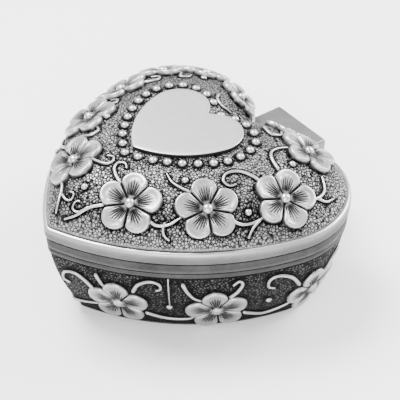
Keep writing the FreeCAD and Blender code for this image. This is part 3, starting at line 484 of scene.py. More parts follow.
def bar(name: str, radius: float, start: Sequence[float], end: Sequence[float], bevel: float = 0.0,
        sides: int = 48) -> Piece:
    """A round bar between two points in millimetres, with rounded rims."""
    clear_selection()
    first, last = Vector(start) * MM, Vector(end) * MM
    bpy.ops.mesh.primitive_cylinder_add(vertices=sides, radius=radius * MM, depth=(last - first).length,
                                        location=(first + last) / 2,
                                        rotation=(last - first).to_track_quat("Z", "Y").to_euler())
    made = settle(bpy.context.object)
    made.name = name
    if bevel:
        apply_modifier(made, "BEVEL", width=bevel * MM, segments=2, limit_method="ANGLE",
                       angle_limit=math.radians(50))
    return made


def carve(thing: Piece, *tools: Piece) -> Piece:
    """Takes tools away from a piece and removes them."""
    for tool in tools:
        apply_modifier(thing, "BOOLEAN", object=tool, operation="DIFFERENCE", solver="EXACT")
        bpy.data.objects.remove(tool)
    return thing


def take_apart(thing: Piece) -> tuple[Array, Faces]:
    """The points and faces of a primitive just added, which is then removed."""
    points = np.array([v.co[:] for v in thing.data.vertices])
    faces = [tuple(p.vertices) for p in thing.data.polygons]
    bpy.data.objects.remove(thing)
    return points, faces


def unit_ball(segments: int, rings: int) -> tuple[Array, Faces]:
    """The points and faces of a ball of radius 1 about the origin."""
    clear_selection()
    bpy.ops.mesh.primitive_uv_sphere_add(segments=segments, ring_count=rings, radius=1.0)
    return take_apart(bpy.context.object)


def spun(points: Array, angle: float) -> Array:
    """Points turned anticlockwise about Z by an angle in radians."""
    c, s = math.cos(angle), math.sin(angle)
    return points @ np.array([[c, s, 0], [-s, c, 0], [0, 0, 1.0]])


def step(value: Array, low: float, high: float) -> Array:
    """A smooth step from 0 at low to 1 at high."""
    share = np.clip((np.asarray(value, float) - low) / (high - low), 0.0, 1.0)
    return share * share * (3.0 - 2.0 * share)


# --- the heart
@dataclass(frozen=True)
class HeartOutline:
    """Six tangent arcs: the tip, two sides, two lobes and the cleft."""
    lobe_x: float = 21.76
    lobe_y: float = 13.35
    lobe_radius: float = 24.24
    side_radius: float = 79.2
    join_angle: float = -13.6
    tip_radius: float = 4.0
    cleft_radius: float = 3.0

    def ring(self, counts: tuple[int, int, int, int], inset: float = 0.0, scale: float = 1.0) -> Array:
        """Points round the outline from the tip's middle, up the right side.

        Args:
            counts: how many steps half the tip, a side, a lobe and half the cleft are divided into.
            inset: how far the outline is drawn in.
            scale: how much it is shrunk about the Z axis.

        Returns:
            Points in the plan, in millimetres.
        """
        tip_steps, side_steps, lobe_steps, cleft_steps = counts
        lobe_radius, side_radius = self.lobe_radius - inset, self.side_radius - inset
        tip_radius, cleft_radius = max(self.tip_radius - inset, 0.6), max(self.cleft_radius + inset, 0.5)
        angle = math.radians(self.join_angle)
        lobe = np.array([self.lobe_x, self.lobe_y])
        side = lobe - np.array([math.cos(angle), math.sin(angle)]) * (side_radius - lobe_radius)
        tip = np.array([0.0, side[1] - math.sqrt((side_radius - tip_radius) ** 2 - side[0] ** 2)])
        cleft = np.array([0.0, lobe[1] + math.sqrt((lobe_radius + cleft_radius) ** 2 - lobe[0] ** 2)])
        low = math.atan2(*(tip - side)[::-1])
        top = math.atan2(*(cleft - lobe)[::-1])

        def arc(centre: Array, radius: float, start: float, end: float, steps: int) -> Array:
            """Points along an arc, without its end."""
            turn = start + (end - start) * np.arange(steps) / steps
            return centre + radius * np.stack([np.cos(turn), np.sin(turn)], 1)

        right = np.vstack([
            arc(tip, tip_radius, -math.pi / 2, low, tip_steps),
            arc(side, side_radius, low, angle, side_steps),
            arc(lobe, lobe_radius, angle, top, lobe_steps),
            arc(cleft, cleft_radius, top - math.pi, -math.pi / 2, cleft_steps),
            [[0.0, cleft[1] - cleft_radius]],
        ])
        return np.vstack([right, right[-2:0:-1] * (-1.0, 1.0)]) * scale


@dataclass
class Shell:
    """A stack of heart rings that makes a closed surface."""
    outline: HeartOutline
    counts: tuple[int, int, int, int] = (10, 90, 150, 8)
    rings: list[Array] = field(default_factory=list)

    def add(self, height: float, inset: float, scale: float = 1.0) -> "Shell":
        """Adds a ring at a height, drawn in and scaled."""
        plan = self.outline.ring(self.counts, inset, scale)
        self.rings.append(np.column_stack([plan, np.full(len(plan), height)]))
        return self

    def follow(self, profile: Sequence[tuple[float, float, float]], scale: float = 1.0) -> Array:
        """Adds a ring for each height, inset and wear of a profile, and gives every point's wear."""
        for height, inset, _ in profile:
            self.add(height, inset * (1.0 / scale), scale)
        return np.repeat([wear for _, _, wear in profile], len(self.rings[0]))

    def points(self) -> Array:
        """All the rings' points, ring by ring."""
        return np.vstack(self.rings)

    def faces(self, start: int = 0, end: Optional[int] = None) -> Faces:
        """Quads between the rings from start to end."""
        size = len(self.rings[0])
        last = len(self.rings) - 1 if end is None else end
        here = np.arange(size)
        after = (here + 1) % size
        quads = [np.stack([here + r * size, after + r * size, after + (r + 1) * size, here + (r + 1) * size], 1)
                 for r in range(start, last)]
        return [tuple(q) for q in np.vstack(quads).tolist()]

    def build(self, name: str, capped: bool = True, looped: bool = False) -> Piece:
        """A mesh of the rings, capped at both ends, or closed from the last ring to the first."""
        size, count = len(self.rings[0]), len(self.rings)
        faces = self.faces()
        if capped:
            faces.append(tuple(range(size))[::-1])
            faces.append(tuple(range(size * (count - 1), size * count)))
        if looped:
            faces += [((i + 1) % size, i, i + size * (count - 1), (i + 1) % size + size * (count - 1))
                      for i in range(size)]
        return outward(object_from(name, self.points(), faces), merge=0.0)


# --- relief
class Ground:
    """A smooth surface that relief is laid on."""

    def __init__(self, thing: Piece) -> None:
        """Keeps a search tree of the surface."""
        mesh = thing.data
        self.tree = BVHTree.FromPolygons([v.co / MM for v in mesh.vertices],
                                         [tuple(p.vertices) for p in mesh.polygons])

    def nearest(self, point: Sequence[float]) -> tuple[Vector, Vector]:
        """The nearest place on the surface, and the way out of it."""
        place, normal, _, _ = self.tree.find_nearest(Vector(point))
        return place, normal

    def under(self, x: float, y: float) -> tuple[Vector, Vector]:
        """The place below a point in the plan, and the way out of the surface there."""
        place, normal, _, _ = self.tree.ray_cast(Vector((x, y, 200.0)), Vector((0.0, 0.0, -1.0)))
        return (place, normal) if place else self.nearest((x, y, 38.0))

    def wrap(self, centre: Vector, normal: Vector, upward: Vector, flat: Array) -> Array:
        """Lays a flat relief on the surface.

        Args:
            centre: where its origin goes.
            normal: the way out of the surface there.
            upward: the direction that its Y axis points along.
            flat: points of x, y and height.

        Returns:
            The points in place, in millimetres.
        """
        second = (upward - normal * upward.dot(normal)).normalized()
        first = second.cross(normal).normalized()
        laid = np.empty_like(flat)
        for i, (x, y, height) in enumerate(flat):
            place, out = self.nearest(centre + first * x + second * y)
            laid[i] = place + out * height
        return laid


@dataclass(frozen=True)
class Blossom:
    """A five-petalled blossom: broad pillowed petals with rolled rims, fanned grooves, and a ball."""
    reach: float = 9.0
    lobe: float = 3.72
    inner: float = 0.9
    rim: float = 1.75
    heart: float = 0.60
    dish: float = 0.36
    groove: float = 0.30
    gap: float = 0.10
    ball: float = 1.50
    sunk: float = 0.5
    roundness: float = 0.62
    groove_width: float = 0.125
    along: int = 30
    across: int = 40

    def petal(self) -> tuple[Array, Faces, Array]:
        """One petal along +Y: its points of x, y and height, its faces and its wear."""
        clear_selection()
        bpy.ops.mesh.primitive_grid_add(x_subdivisions=self.across, y_subdivisions=self.along, size=2.0)
        flat, faces = take_apart(bpy.context.object)
        side, way = flat[:, 0], (flat[:, 1] + 1.0) / 2.0
        side = np.sin(side * math.pi / 2) * 0.45 + side * 0.55
        way = np.sin(way * math.pi / 2) * 0.5 + way * 0.5
        middle = self.reach - self.lobe
        y = self.inner + (self.reach - self.inner) * way
        sector = y * math.tan(math.pi / 5) - self.gap
        circle = np.sqrt(np.clip(self.lobe ** 2 - (y - middle) ** 2, 0.0, None))
        width = np.where(y > middle - 0.3, np.minimum(sector, circle), sector)
        x = side * width
        to_side = (sector - np.abs(x)) * math.cos(math.pi / 5)
        to_arc = np.where(y > middle - 0.6, self.lobe - np.hypot(x, y - middle), 9.0)
        edge = np.clip(np.minimum(to_side, to_arc), 0.0, None)
        wall = np.sqrt(np.clip(1 - (1 - np.clip(edge / self.roundness, 0, 1)) ** 2, 0, 1))
        tall = self.heart + (self.rim - self.heart) * step(way, 0.05, 0.72)
        dish = self.dish * step(edge, 0.7, 2.2) * step(way, 0.15, 0.5)
        fan = np.degrees(np.arctan2(x, y))
        carved = np.zeros(len(x))
        grooves = ((0, 0.74), (-8, 0.68), (8.5, 0.70), (-16.5, 0.60), (16, 0.62), (-24, 0.50), (24.5, 0.48))
        for angle, end in grooves:
            off = np.abs(fan - angle * (1 - 0.12 * way)) / 57.3 * y
            carved = np.maximum(carved, np.exp(-(off / self.groove_width) ** 2) * (1 - step(way, end - 0.16, end)))
        carved = carved * step(way, 0.08, 0.22)
        height = -self.sunk + (tall + self.sunk - dish) * wall - self.groove * carved * wall
        height = np.where((edge < 1e-4) | (way < 1e-3), -self.sunk, height)
        wear = 0.34 + 0.56 * step(height, 0.15, self.rim * 0.92) - 0.74 * carved - 0.27 * step(edge, 0.6, 1.8)
        # The centre gets patina; the steep petal sides get patina and painted shade beneath the rims.
        wear = wear - 0.10 * (1 - step(way, 0.02, 0.30)) - 0.40 * (1 - step(wall, 0.20, 0.78))
        return np.stack([x, y, height], 1), faces, np.clip(wear, 0, 1)

    def pattern(self, flatness: float = 1.0) -> tuple[Array, Faces, Array]:
        """The whole blossom, lying flat about the origin."""
        petal, faces, wear = self.petal()
        points, all_faces, wear_shade_mix = [], [], []
        count = 0
        for k in range(5):
            points.append(spun(petal, 2 * math.pi * k / 5))
            all_faces += [tuple(i + count for i in face) for face in faces]
            wear_shade_mix.append(wear)
            count += len(petal)
        round_points, ball_faces = unit_ball(24, 14)
        all_faces += [tuple(i + count for i in face) for face in ball_faces]
        points.append(round_points * (self.ball, self.ball, self.ball * 0.95) + (0, 0, self.heart * 0.55))
        wear_shade_mix.append(np.clip(0.15 + 0.85 * step(round_points[:, 2], -0.2, 0.75), 0, 1))
        whole = np.vstack(points) * (1, 1, flatness)
        return whole, all_faces, np.concatenate(wear_shade_mix)


@dataclass(frozen=True)
class Sprig:
    """A vine or tendril: the places that it passes, and how thick it is there."""
    places: tuple[tuple[float, float], ...]
    thick: float = 0.52
    taper: float = 0.55
    bulb: bool = False


def tube(line: Array, outs: Array, radii: Array, sides: int = 10) -> tuple[Array, list, Array]:
    """A half-sunk tube along a line.

    Args:
        line: places in millimetres.
        outs: the way out of the surface at each place.
        radii: the tube's radius at each place.
        sides: how many sides it has.

    Returns:
        Points, faces and wear.
    """
    ahead = np.gradient(line, axis=0)
    ahead /= np.linalg.norm(ahead, axis=1)[:, None]
    across = np.cross(ahead, outs)
    across /= np.linalg.norm(across, axis=1)[:, None]
    turn = 2 * math.pi * np.arange(sides) / sides
    points, wear = [], []
    for place, out, sideways, radius in zip(line, outs, across, radii):
        points.append(place + radius * (np.cos(turn)[:, None] * sideways + np.sin(turn)[:, None] * out * 1.15))
        wear.append(0.25 + 0.65 * step(np.sin(turn), -0.1, 0.9))
    count = len(line)
    faces = [(i * sides + j, i * sides + (j + 1) % sides, (i + 1) * sides + (j + 1) % sides, (i + 1) * sides + j)
             for i in range(count - 1) for j in range(sides)]
    faces.append(tuple(range(sides))[::-1])
    faces.append(tuple(range((count - 1) * sides, count * sides)))
    return np.vstack(points), faces, np.concatenate(wear)


def curve_through(places: Array, spacing: float = 0.45) -> Array:
    """A smooth line through places, with points at an even spacing."""
    ends = np.vstack([2 * places[0] - places[1], places, 2 * places[-1] - places[-2]])
    line = []
    for i in range(1, len(ends) - 2):
        a, b, c, d = ends[i - 1:i + 3]
        for t in np.linspace(0, 1, 24, endpoint=False):
            line.append(0.5 * (2 * b + (c - a) * t + (2 * a - 5 * b + 4 * c - d) * t * t
                               + (3 * b - a - 3 * c + d) * t ** 3))
    line.append(places[-1])
    line = np.array(line)
    run = np.r_[0, np.cumsum(np.linalg.norm(np.diff(line, axis=0), axis=1))]
    wanted = np.linspace(0, run[-1], max(int(run[-1] / spacing), 4))
    return np.stack([np.interp(wanted, run, line[:, k]) for k in range(line.shape[1])], 1)


class Relief:
    """Gathers blossoms, vines and beads into one mesh."""

    def __init__(self, ground: Ground) -> None:
        """Starts empty over a ground."""
        self.ground = ground
        self.points: list[Array] = []
        self.faces: Faces = []
        self.wear: list[Array] = []
        self.count = 0

    def add(self, points: Array, faces: Iterable[Sequence[int]], wear: Array) -> None:
        """Adds one shape."""
        self.faces += [tuple(i + self.count for i in face) for face in faces]
        self.points.append(points)
        self.wear.append(wear)
        self.count += len(points)

    def blossom(self, pattern: tuple, place: Vector, normal: Vector, upward: Vector, turn: float,
                size: float = 1.0, stretch: float = 1.0) -> None:
        """Lays a blossom, turned by an angle in degrees, and drawn out along the upward direction."""
        flat, faces, wear = pattern
        turned = spun(flat, math.radians(turn))
        turned[:, :2] *= (size, size * stretch)
        self.add(self.ground.wrap(place, normal, upward, turned), faces, wear)

    def vine(self, line: Array, sprig: Sprig) -> None:
        """Lays a vine whose line is near the surface."""
        laid = [self.ground.nearest(p) for p in line]
        places = np.array([p[:] for p, _ in laid])
        outs = np.array([n[:] for _, n in laid])
        share = np.linspace(0, 1, len(places))
        radii = sprig.thick * (1 - (1 - sprig.taper) * share ** 1.3)
        radii[0] *= 0.6
        if sprig.bulb:
            radii *= 1 + 0.45 * np.exp(-((share - 0.96) / 0.05) ** 2)
        self.add(*tube(places + outs * (radii * 0.35)[:, None], outs, radii))

    def bead(self, place: Vector, normal: Vector, radius: float, rise: float = 0.45) -> None:
        """Lays a round bead, mostly above the surface."""
        unit, faces = unit_ball(20, 12)
        turn = np.array(normal.to_track_quat("Z", "Y").to_matrix())
        shaped = unit * (1.0, 1.0, 0.92)
        wear = np.clip(0.02 + 0.90 * step(unit[:, 2], -0.15, 0.8), 0, 1)
        centre = np.array(place[:]) + np.array(normal[:]) * radius * (rise - 0.35)
        self.add(shaped @ turn.T * radius + centre, faces, wear)

    def build(self, name: str) -> Piece:
        """The mesh of all that was laid."""
        made = object_from(name, np.vstack(self.points), self.faces)
        paint(made, np.concatenate(self.wear))
        outward(made, 0.0)
        return smooth(made, 60.0)

    def closeness(self, places: Array, reach: float) -> Array:
        """How near each place is to the foot of some relief, from 0 to 1."""
        whole = np.vstack(self.points)
        tree = KDTree(len(whole))
        for i, point in enumerate(whole):
            tree.insert(point, i)
        tree.balance()
        gap = np.array([tree.find(p)[2] for p in places])
        return np.exp(-(gap / reach) ** 2)


# --- hinge
@dataclass(frozen=True)
class Hinge:
    """What the lid's block and the case's lug share: the axis, the knuckles and the pin's hole."""
    y: float = 43.2
    z: float = 28.0
    half_width: float = 11.2
    knuckle_radius: float = 2.7
    bore: float = 1.05

    def along(self, x: float) -> tuple[float, float, float]:
        """A place on the axis."""
        return (x, self.y, self.z)

    def knuckle(self, start: float, end: float) -> Piece:
        """A knuckle between two places along the axis, before its hole."""
        return bar("knuckle", self.knuckle_radius, self.along(start), self.along(end), 0.25, 64)

    def hole(self, start: float, end: float) -> Piece:
        """A tool for the pin's hole, between two places along the axis."""
        return bar("pin_hole", self.bore, self.along(start), self.along(end))


# --- lid
@dataclass
class Lid:
    """The cast lid: stepped band, domed and pebbled ground, blossoms, beads, plaque and hinge block."""
    outline: HeartOutline = field(default_factory=HeartOutline)
    hinge: Hinge = field(default_factory=Hinge)
    bottom: float = 28.2
    step_height: float = 31.8
    band_top: float = 35.6
    dome_height: float = 13.5
    dome_inset: float = 1.2
    dome_power: float = 1.72
    front_power: float = 1.73
    back_power: float = 1.13
    back_start: float = -16.5
    back_reach: float = 14.6
    crown_scale: float = 0.39
    lean: float = -2.5
    wall: float = 2.0
    plaque_scale: float = 0.36
    plaque_bottom: float = 48.5
    plaque_top: float = 50.4
    bead_radius: float = 1.25

    def blossom_places(self) -> list[tuple[float, float, float, float]]:
        """Plan place, turn and size of each blossom."""
        return [
            (14.3, -27.5, 2.0, 1.0), (28.1, -12.1, 28.0, 1.0), (35.6, 8.4, 10.0, 1.0),
            (-9.6, -30.0, 16.0, 1.0), (-24.2, -15.8, 4.0, 0.98), (-32.6, 0.8, -20.0, 1.0),
            (-34.2, 17.2, 10.0, 0.97), (-27.0, 28.4, 40.0, 0.93), (-11.2, 29.6, 5.0, 0.80),
            (11.2, 29.6, 20.0, 0.80), (23.8, 26.8, 0.0, 0.98),
        ]

    def sprigs(self) -> list[Sprig]:
        """The lid's vines and tendrils, by their places in the plan."""
        return [
            Sprig(((8.5, -26.3), (5.5, -25.9), (3.0, -24.8), (2.3, -22.9), (3.7, -21.7), (5.4, -22.4))),
            Sprig(((9.9, -32.6), (7.5, -35.6), (5.8, -39.2), (3.7, -41.7))),
            Sprig(((7.2, -35.7), (5.9, -38.3), (4.0, -39.1), (3.3, -37.7), (4.2, -36.8)), 0.42, 0.5, True),
            Sprig(((-6.9, -35.8), (-3.7, -37.5), (-0.9, -40.3), (0.9, -42.6))),
            Sprig(((-2.6, -38.6), (0.6, -39.2), (2.0, -38.2), (1.3, -36.9), (0.0, -37.3)), 0.42, 0.5, True),
            Sprig(((-5.6, -27.1), (-2.5, -26.8), (0.2, -25.8), (0.9, -24.1), (-0.5, -22.7), (-2.2, -23.6))),
            Sprig(((19.6, -26.4), (22.8, -24.9), (24.8, -22.2), (25.6, -18.9))),
            Sprig(((23.8, -22.8), (24.5, -24.0), (25.6, -24.3), (26.9, -23.7)), 0.46, 0.5, True),
            Sprig(((22.3, -13.2), (19.7, -14.6), (16.8, -15.5), (13.7, -15.0)), 0.46, 0.45),
            Sprig(((32.4, -8.3), (34.7, -6.2), (35.9, -3.2), (36.5, 0.8))),
            Sprig(((36.4, -0.4), (36.6, -2.4), (37.2, -4.4), (37.9, -5.8)), 0.46, 0.5, True),
            Sprig(((29.5, 5.0), (26.6, 3.8), (23.8, 1.5), (22.7, -1.6), (23.9, -3.8), (25.9, -3.2), (26.5, -1.2))),
            Sprig(((28.4, 11.8), (24.7, 12.5), (22.3, 14.2), (21.6, 17.2), (21.9, 20.4))),
            Sprig(((38.3, 14.7), (38.4, 18.2), (36.8, 21.6), (33.0, 23.9))),
            Sprig(((38.4, 17.3), (39.8, 19.7), (39.4, 22.9)), 0.46, 0.5),
            Sprig(((-18.5, -27.4), (-22.3, -26.6), (-26.1, -23.9))),
            Sprig(((-17.5, -23.2), (-14.3, -21.1), (-14.7, -18.6), (-17.4, -18.2), (-18.1, -20.1))),
            Sprig(((-16.6, -30.3), (-25.0, -29.0), (-16.5, -34.4)), 0.46, 0.45, True),
            Sprig(((-30.6, -17.6), (-32.6, -14.8), (-33.4, -11.4))),
            Sprig(((-27.4, -12.8), (-24.8, -10.4), (-23.4, -7.4), (-25.0, -5.4), (-27.2, -6.4))),
            Sprig(((-31.6, -17.0), (-34.6, -17.8), (-37.2, -16.0)), 0.46, 0.45, True),
            Sprig(((-40.4, 3.2), (-41.6, 6.2), (-40.6, 9.0))),
            Sprig(((-30.0, 4.4), (-27.0, 6.4), (-26.0, 9.6), (-28.0, 11.6), (-30.2, 10.2))),
            Sprig(((-38.6, 21.6), (-36.2, 25.4), (-33.4, 27.4))),
            Sprig(((-30.4, 19.0), (-26.6, 18.6), (-24.0, 16.4), (-22.6, 18.6), (-24.2, 20.6))),
            Sprig(((-20.0, 31.6), (-17.6, 32.2), (-15.4, 30.6))),
            Sprig(((-9.0, 19.6), (-6.8, 17.4), (-3.8, 17.0), (-2.6, 19.2))),
            Sprig(((12.0, 20.0), (12.0, 20.0), (15.5, 19.7), (16.1, 22.9), (12.5, 25.9))),
            Sprig(((17.0, 30.0), (19.6, 31.4), (22.0, 30.6))),
            Sprig(((-4.2, 28.4), (-2.6, 25.6), (-3.2, 22.8)), 0.46, 0.5),
            Sprig(((4.4, 28.4), (2.6, 25.6), (3.2, 22.8)), 0.46, 0.5),
        ]

    def dots(self) -> list[tuple[float, float]]:
        """Where single dots stand, in the plan."""
        return [(18.5, -12.4), (33.6, -2.6), (27.8, 17.3), (2.1, -33.9), (-18.3, -13.4), (-28.6, 0.6),
                (-31.0, 14.2), (-20.4, 22.6), (20.2, 23.6), (-26.2, -27.4), (-38.8, -8.6), (-33.4, 21.8)]

    def dome(self, height: float, wall: float, turns: Array, shell: Shell) -> Shell:
        """Adds the dome's rings to a shell; its shoulder is fuller in front than over the back lobes."""
        start = self.outline.ring(shell.counts, self.dome_inset)
        back = step(start[:, 1], self.back_start, self.back_start + self.back_reach)
        power = self.front_power + (self.back_power - self.front_power) * back
        for turn in turns:
            out = math.cos(turn) ** (2 / self.dome_power)
            scale = self.crown_scale + (1 - self.crown_scale) * out
            plan = self.outline.ring(shell.counts, (self.dome_inset * out + wall) / scale, scale)
            plan[:, 1] += self.lean * (1 - out)
            rise = max(math.sin(turn), 1e-6) ** (2 / power)
            shell.rings.append(np.column_stack([plan, self.band_top + height * rise]))
        return shell

    def even_turns(self, count: int) -> Array:
        """Angles that space the dome's rings evenly."""
        fine = np.linspace(0.0, math.pi / 2, 2000)
        out, rise = np.cos(fine) ** (2 / self.dome_power), np.sin(fine) ** (2 / self.front_power)
        run = np.r_[0, np.cumsum(np.hypot(np.diff(out) * 25.0, np.diff(rise) * self.dome_height))]
        return np.interp(np.linspace(0, run[-1], count), run, fine)

    def on_dome(self, ground: Ground, x: float, y: float) -> tuple[Vector, Vector]:
        """The place above a point in the plan and the way out there, drawn in until it is clear of the band."""
        place, normal = ground.under(x, y)
        while place.z < self.band_top + 0.9:
            x, y = 0.985 * x, 0.985 * y
            place, normal = ground.under(x, y)
        return place, normal

    def plain_dome(self) -> Piece:
        """The dome before any relief, for laying things on."""
        shell = Shell(self.outline, (6, 46, 80, 6))
        shell.add(self.bottom + 1.0, 0.0).add(self.band_top - 0.3, 0.1).add(self.band_top - 0.02, 0.9)
        self.dome(self.dome_height, 0.0, self.even_turns(34), shell)
        return shell.build("plain_dome")

    def ground_shell(self, relief: Relief) -> Piece:
        """The pebbled dome and its inner wall as one closed shell."""
        shell = Shell(self.outline, (10, 110, 186, 10))
        turns = self.even_turns(84)
        self.dome(self.dome_height, 0.0, turns, shell)
        outer = len(shell.rings)
        size = len(shell.rings[0])
        for share in (0.93, 0.8, 0.5, 0.2):
            shell.rings.append((shell.rings[outer - 1] - (0, self.lean, 0)) * (share, share, 1) + (0, self.lean, 0))
        inner = Shell(self.outline, (10, 110, 186, 10))
        self.dome(self.dome_height - self.wall, self.wall, self.even_turns(9), inner)
        inner.rings.append((inner.rings[-1] - (0, self.lean, 0)) * (0.5, 0.5, 1) + (0, self.lean, 0))
        outer_all = len(shell.rings)
        points = np.vstack([shell.points(), inner.points()])
        base = outer_all * size
        faces = shell.faces() + [tuple(i + base for i in f[::-1]) for f in inner.faces()]
        faces.append(tuple(range(size * (outer_all - 1), size * outer_all)))
        faces.append(tuple(range(base + size * (len(inner.rings) - 1), base + size * len(inner.rings)))[::-1])
        faces += [((i + 1) % size, i, base + i, base + (i + 1) % size) for i in range(size)]
        made = object_from("lid_dome", points, faces)
        outward(made, 0.0)
        number = len(made.data.vertices)
        ring = np.arange(number) // size
        shown = ring < outer_all
        near = np.zeros(number)
        near[shown] = relief.closeness(points[shown], 0.62)
        # Patina and painted shade: the ground is darker near the feet of the relief.
        wear = 0.42 - 0.60 * near
        # Painted light: lighter towards the crown, as if lit from above.
        wear = wear + 0.08 * step(points[:, 2], self.band_top + 6.0, self.band_top + 13.0)
        # Painted shade in the crease where the dome meets the band; the rings just above it are lighter.
        wear = wear - 0.45 * (1 - step(ring, 0.0, 2.0)) + 0.12 * (1 - step(ring, 4.0, 26.0))
        wear = np.where(shown, wear, 0.35)
        paint(made, np.clip(wear, 0.0, 1.0))
        paint(made, np.where(shown, step(ring, 1.0, 4.0), 0.0), "ground")
        return smooth(made, 75.0)

    def band(self) -> Piece:
        """The smooth double band round the rim, with its groove."""
        # Painted shade: the bottom edge at the parting line and the lower step are held dark, and the upper face is
        # darker below its rubbed top edge.
        profile = [
            (self.bottom, 3.2, 0.35), (self.bottom, 1.2, 0.05), (self.bottom + 0.05, 0.62, 0.15),
            (self.bottom + 0.28, 0.42, 0.24), (self.bottom + 1.4, 0.36, 0.13), (self.step_height - 0.75, 0.38, 0.15),
            (self.step_height - 0.42, 0.46, 0.13), (self.step_height - 0.26, 0.86, 0.0),
            (self.step_height - 0.08, 0.88, 0.0), (self.step_height + 0.04, 0.34, 0.34),
            (self.step_height + 0.34, 0.10, 0.33), (self.step_height + 1.5, 0.02, 0.31),
            (self.band_top - 1.1, 0.02, 0.40), (self.band_top - 0.5, 0.16, 0.62), (self.band_top - 0.16, 0.46, 0.88),
            (self.band_top + 0.0, 0.85, 0.86), (self.band_top + 0.02, 1.12, 0.45), (self.band_top - 0.12, 1.40, 0.0),
            (self.band_top - 0.12, 3.2, 0.3),
        ]
        shell = Shell(self.outline, (10, 60, 110, 10))
        wear = shell.follow(profile)
        made = shell.build("lid_band", capped=False, looped=True)
        paint(made, wear)
        return smooth(made, 50.0)

    def plaque(self) -> Piece:
        """The flat heart plate on the crown, with a rounded edge."""
        shell = Shell(self.outline, (10, 70, 90, 10))
        # The plate's sides get no wear, which its finish turns near black: painted shadow round its foot.
        profile = [(self.plaque_bottom, 0.0, 0.0), (self.plaque_top - 0.30, 0.0, 0.05),
                   (self.plaque_top - 0.12, 0.04, 0.55), (self.plaque_top - 0.03, 0.13, 1.0),
                   (self.plaque_top, 0.30, 1.0), (self.plaque_top, 1.6, 1.0), (self.plaque_top, 3.4, 1.0)]
        wear = shell.follow(profile, self.plaque_scale)
        made = shell.build("heart_plate")
        paint(made, wear)
        return smooth(made, 40.0)

    def beads(self, relief: Relief) -> None:
        """Sets the ring of beads round the plaque: one side's places, mirrored to the other."""
        side = [(3.7, -17.6), (7.4, -15.2), (10.4, -12.5), (13.3, -9.6), (15.9, -6.2), (18.1, -2.6), (19.6, 1.1),
                (20.1, 5.1), (19.3, 9.1), (17.3, 12.6), (13.7, 14.8), (9.4, 15.4), (5.2, 14.7)]
        places = [(0.0, -19.4), *side, (0.0, 13.4), *[(-x, y) for x, y in reversed(side)]]
        for x, y in places:
            place, normal = relief.ground.under(x, y)
            relief.bead(place, normal, self.bead_radius)

    def hinge_block(self) -> Piece:
        """The plain block behind the cleft, with its two knuckles and the pocket between them."""
        half, pocket = self.hinge.half_width, 5.6
        stock = block("hinge_block", (-half, 21.9, self.bottom + 0.03), (half, 45.9, 31.4), 0.85, 5)
        carve(stock, bar("pocket", 3.1, self.hinge.along(-pocket), self.hinge.along(pocket), sides=96),
              block("pocket_back", (-pocket, self.hinge.y, 26.0), (pocket, 50.0, self.hinge.z + 0.9)))
        ears = [carve(self.hinge.knuckle(sign * 5.62, sign * 10.75), self.hinge.hole(sign * 4, sign * 12))
                for sign in (-1, 1)]
        whole = join("hinge_block", [stock, *ears])
        paint(whole, 0.42)
        return smooth(whole, 35.0)

    def build(self) -> None:
        """Builds every piece of the lid."""
        plain = self.plain_dome()
        relief = Relief(Ground(plain))
        bpy.data.objects.remove(plain)
        pattern = Blossom().pattern()
        for x, y, turn, size in self.blossom_places():
            place, normal = relief.ground.under(x, y)
            relief.blossom(pattern, place, normal, Vector((-0.6, 0.8, 0.3)), turn, size)
        for sprig in self.sprigs():
            plan = curve_through(np.array(sprig.places))
            relief.vine(np.array([self.on_dome(relief.ground, x, y)[0][:] for x, y in plan]), sprig)
        for x, y in self.dots():
            relief.bead(*self.on_dome(relief.ground, x, y), 1.0)
        self.beads(relief)
        for piece in (self.ground_shell(relief), relief.build("lid_relief"), self.band(), self.hinge_block()):
            finished(piece, "lid", Finish.PEWTER, ["lid_shell"])
        finished(self.plaque(), "lid", Finish.PLAQUE, ["heart_plaque"])


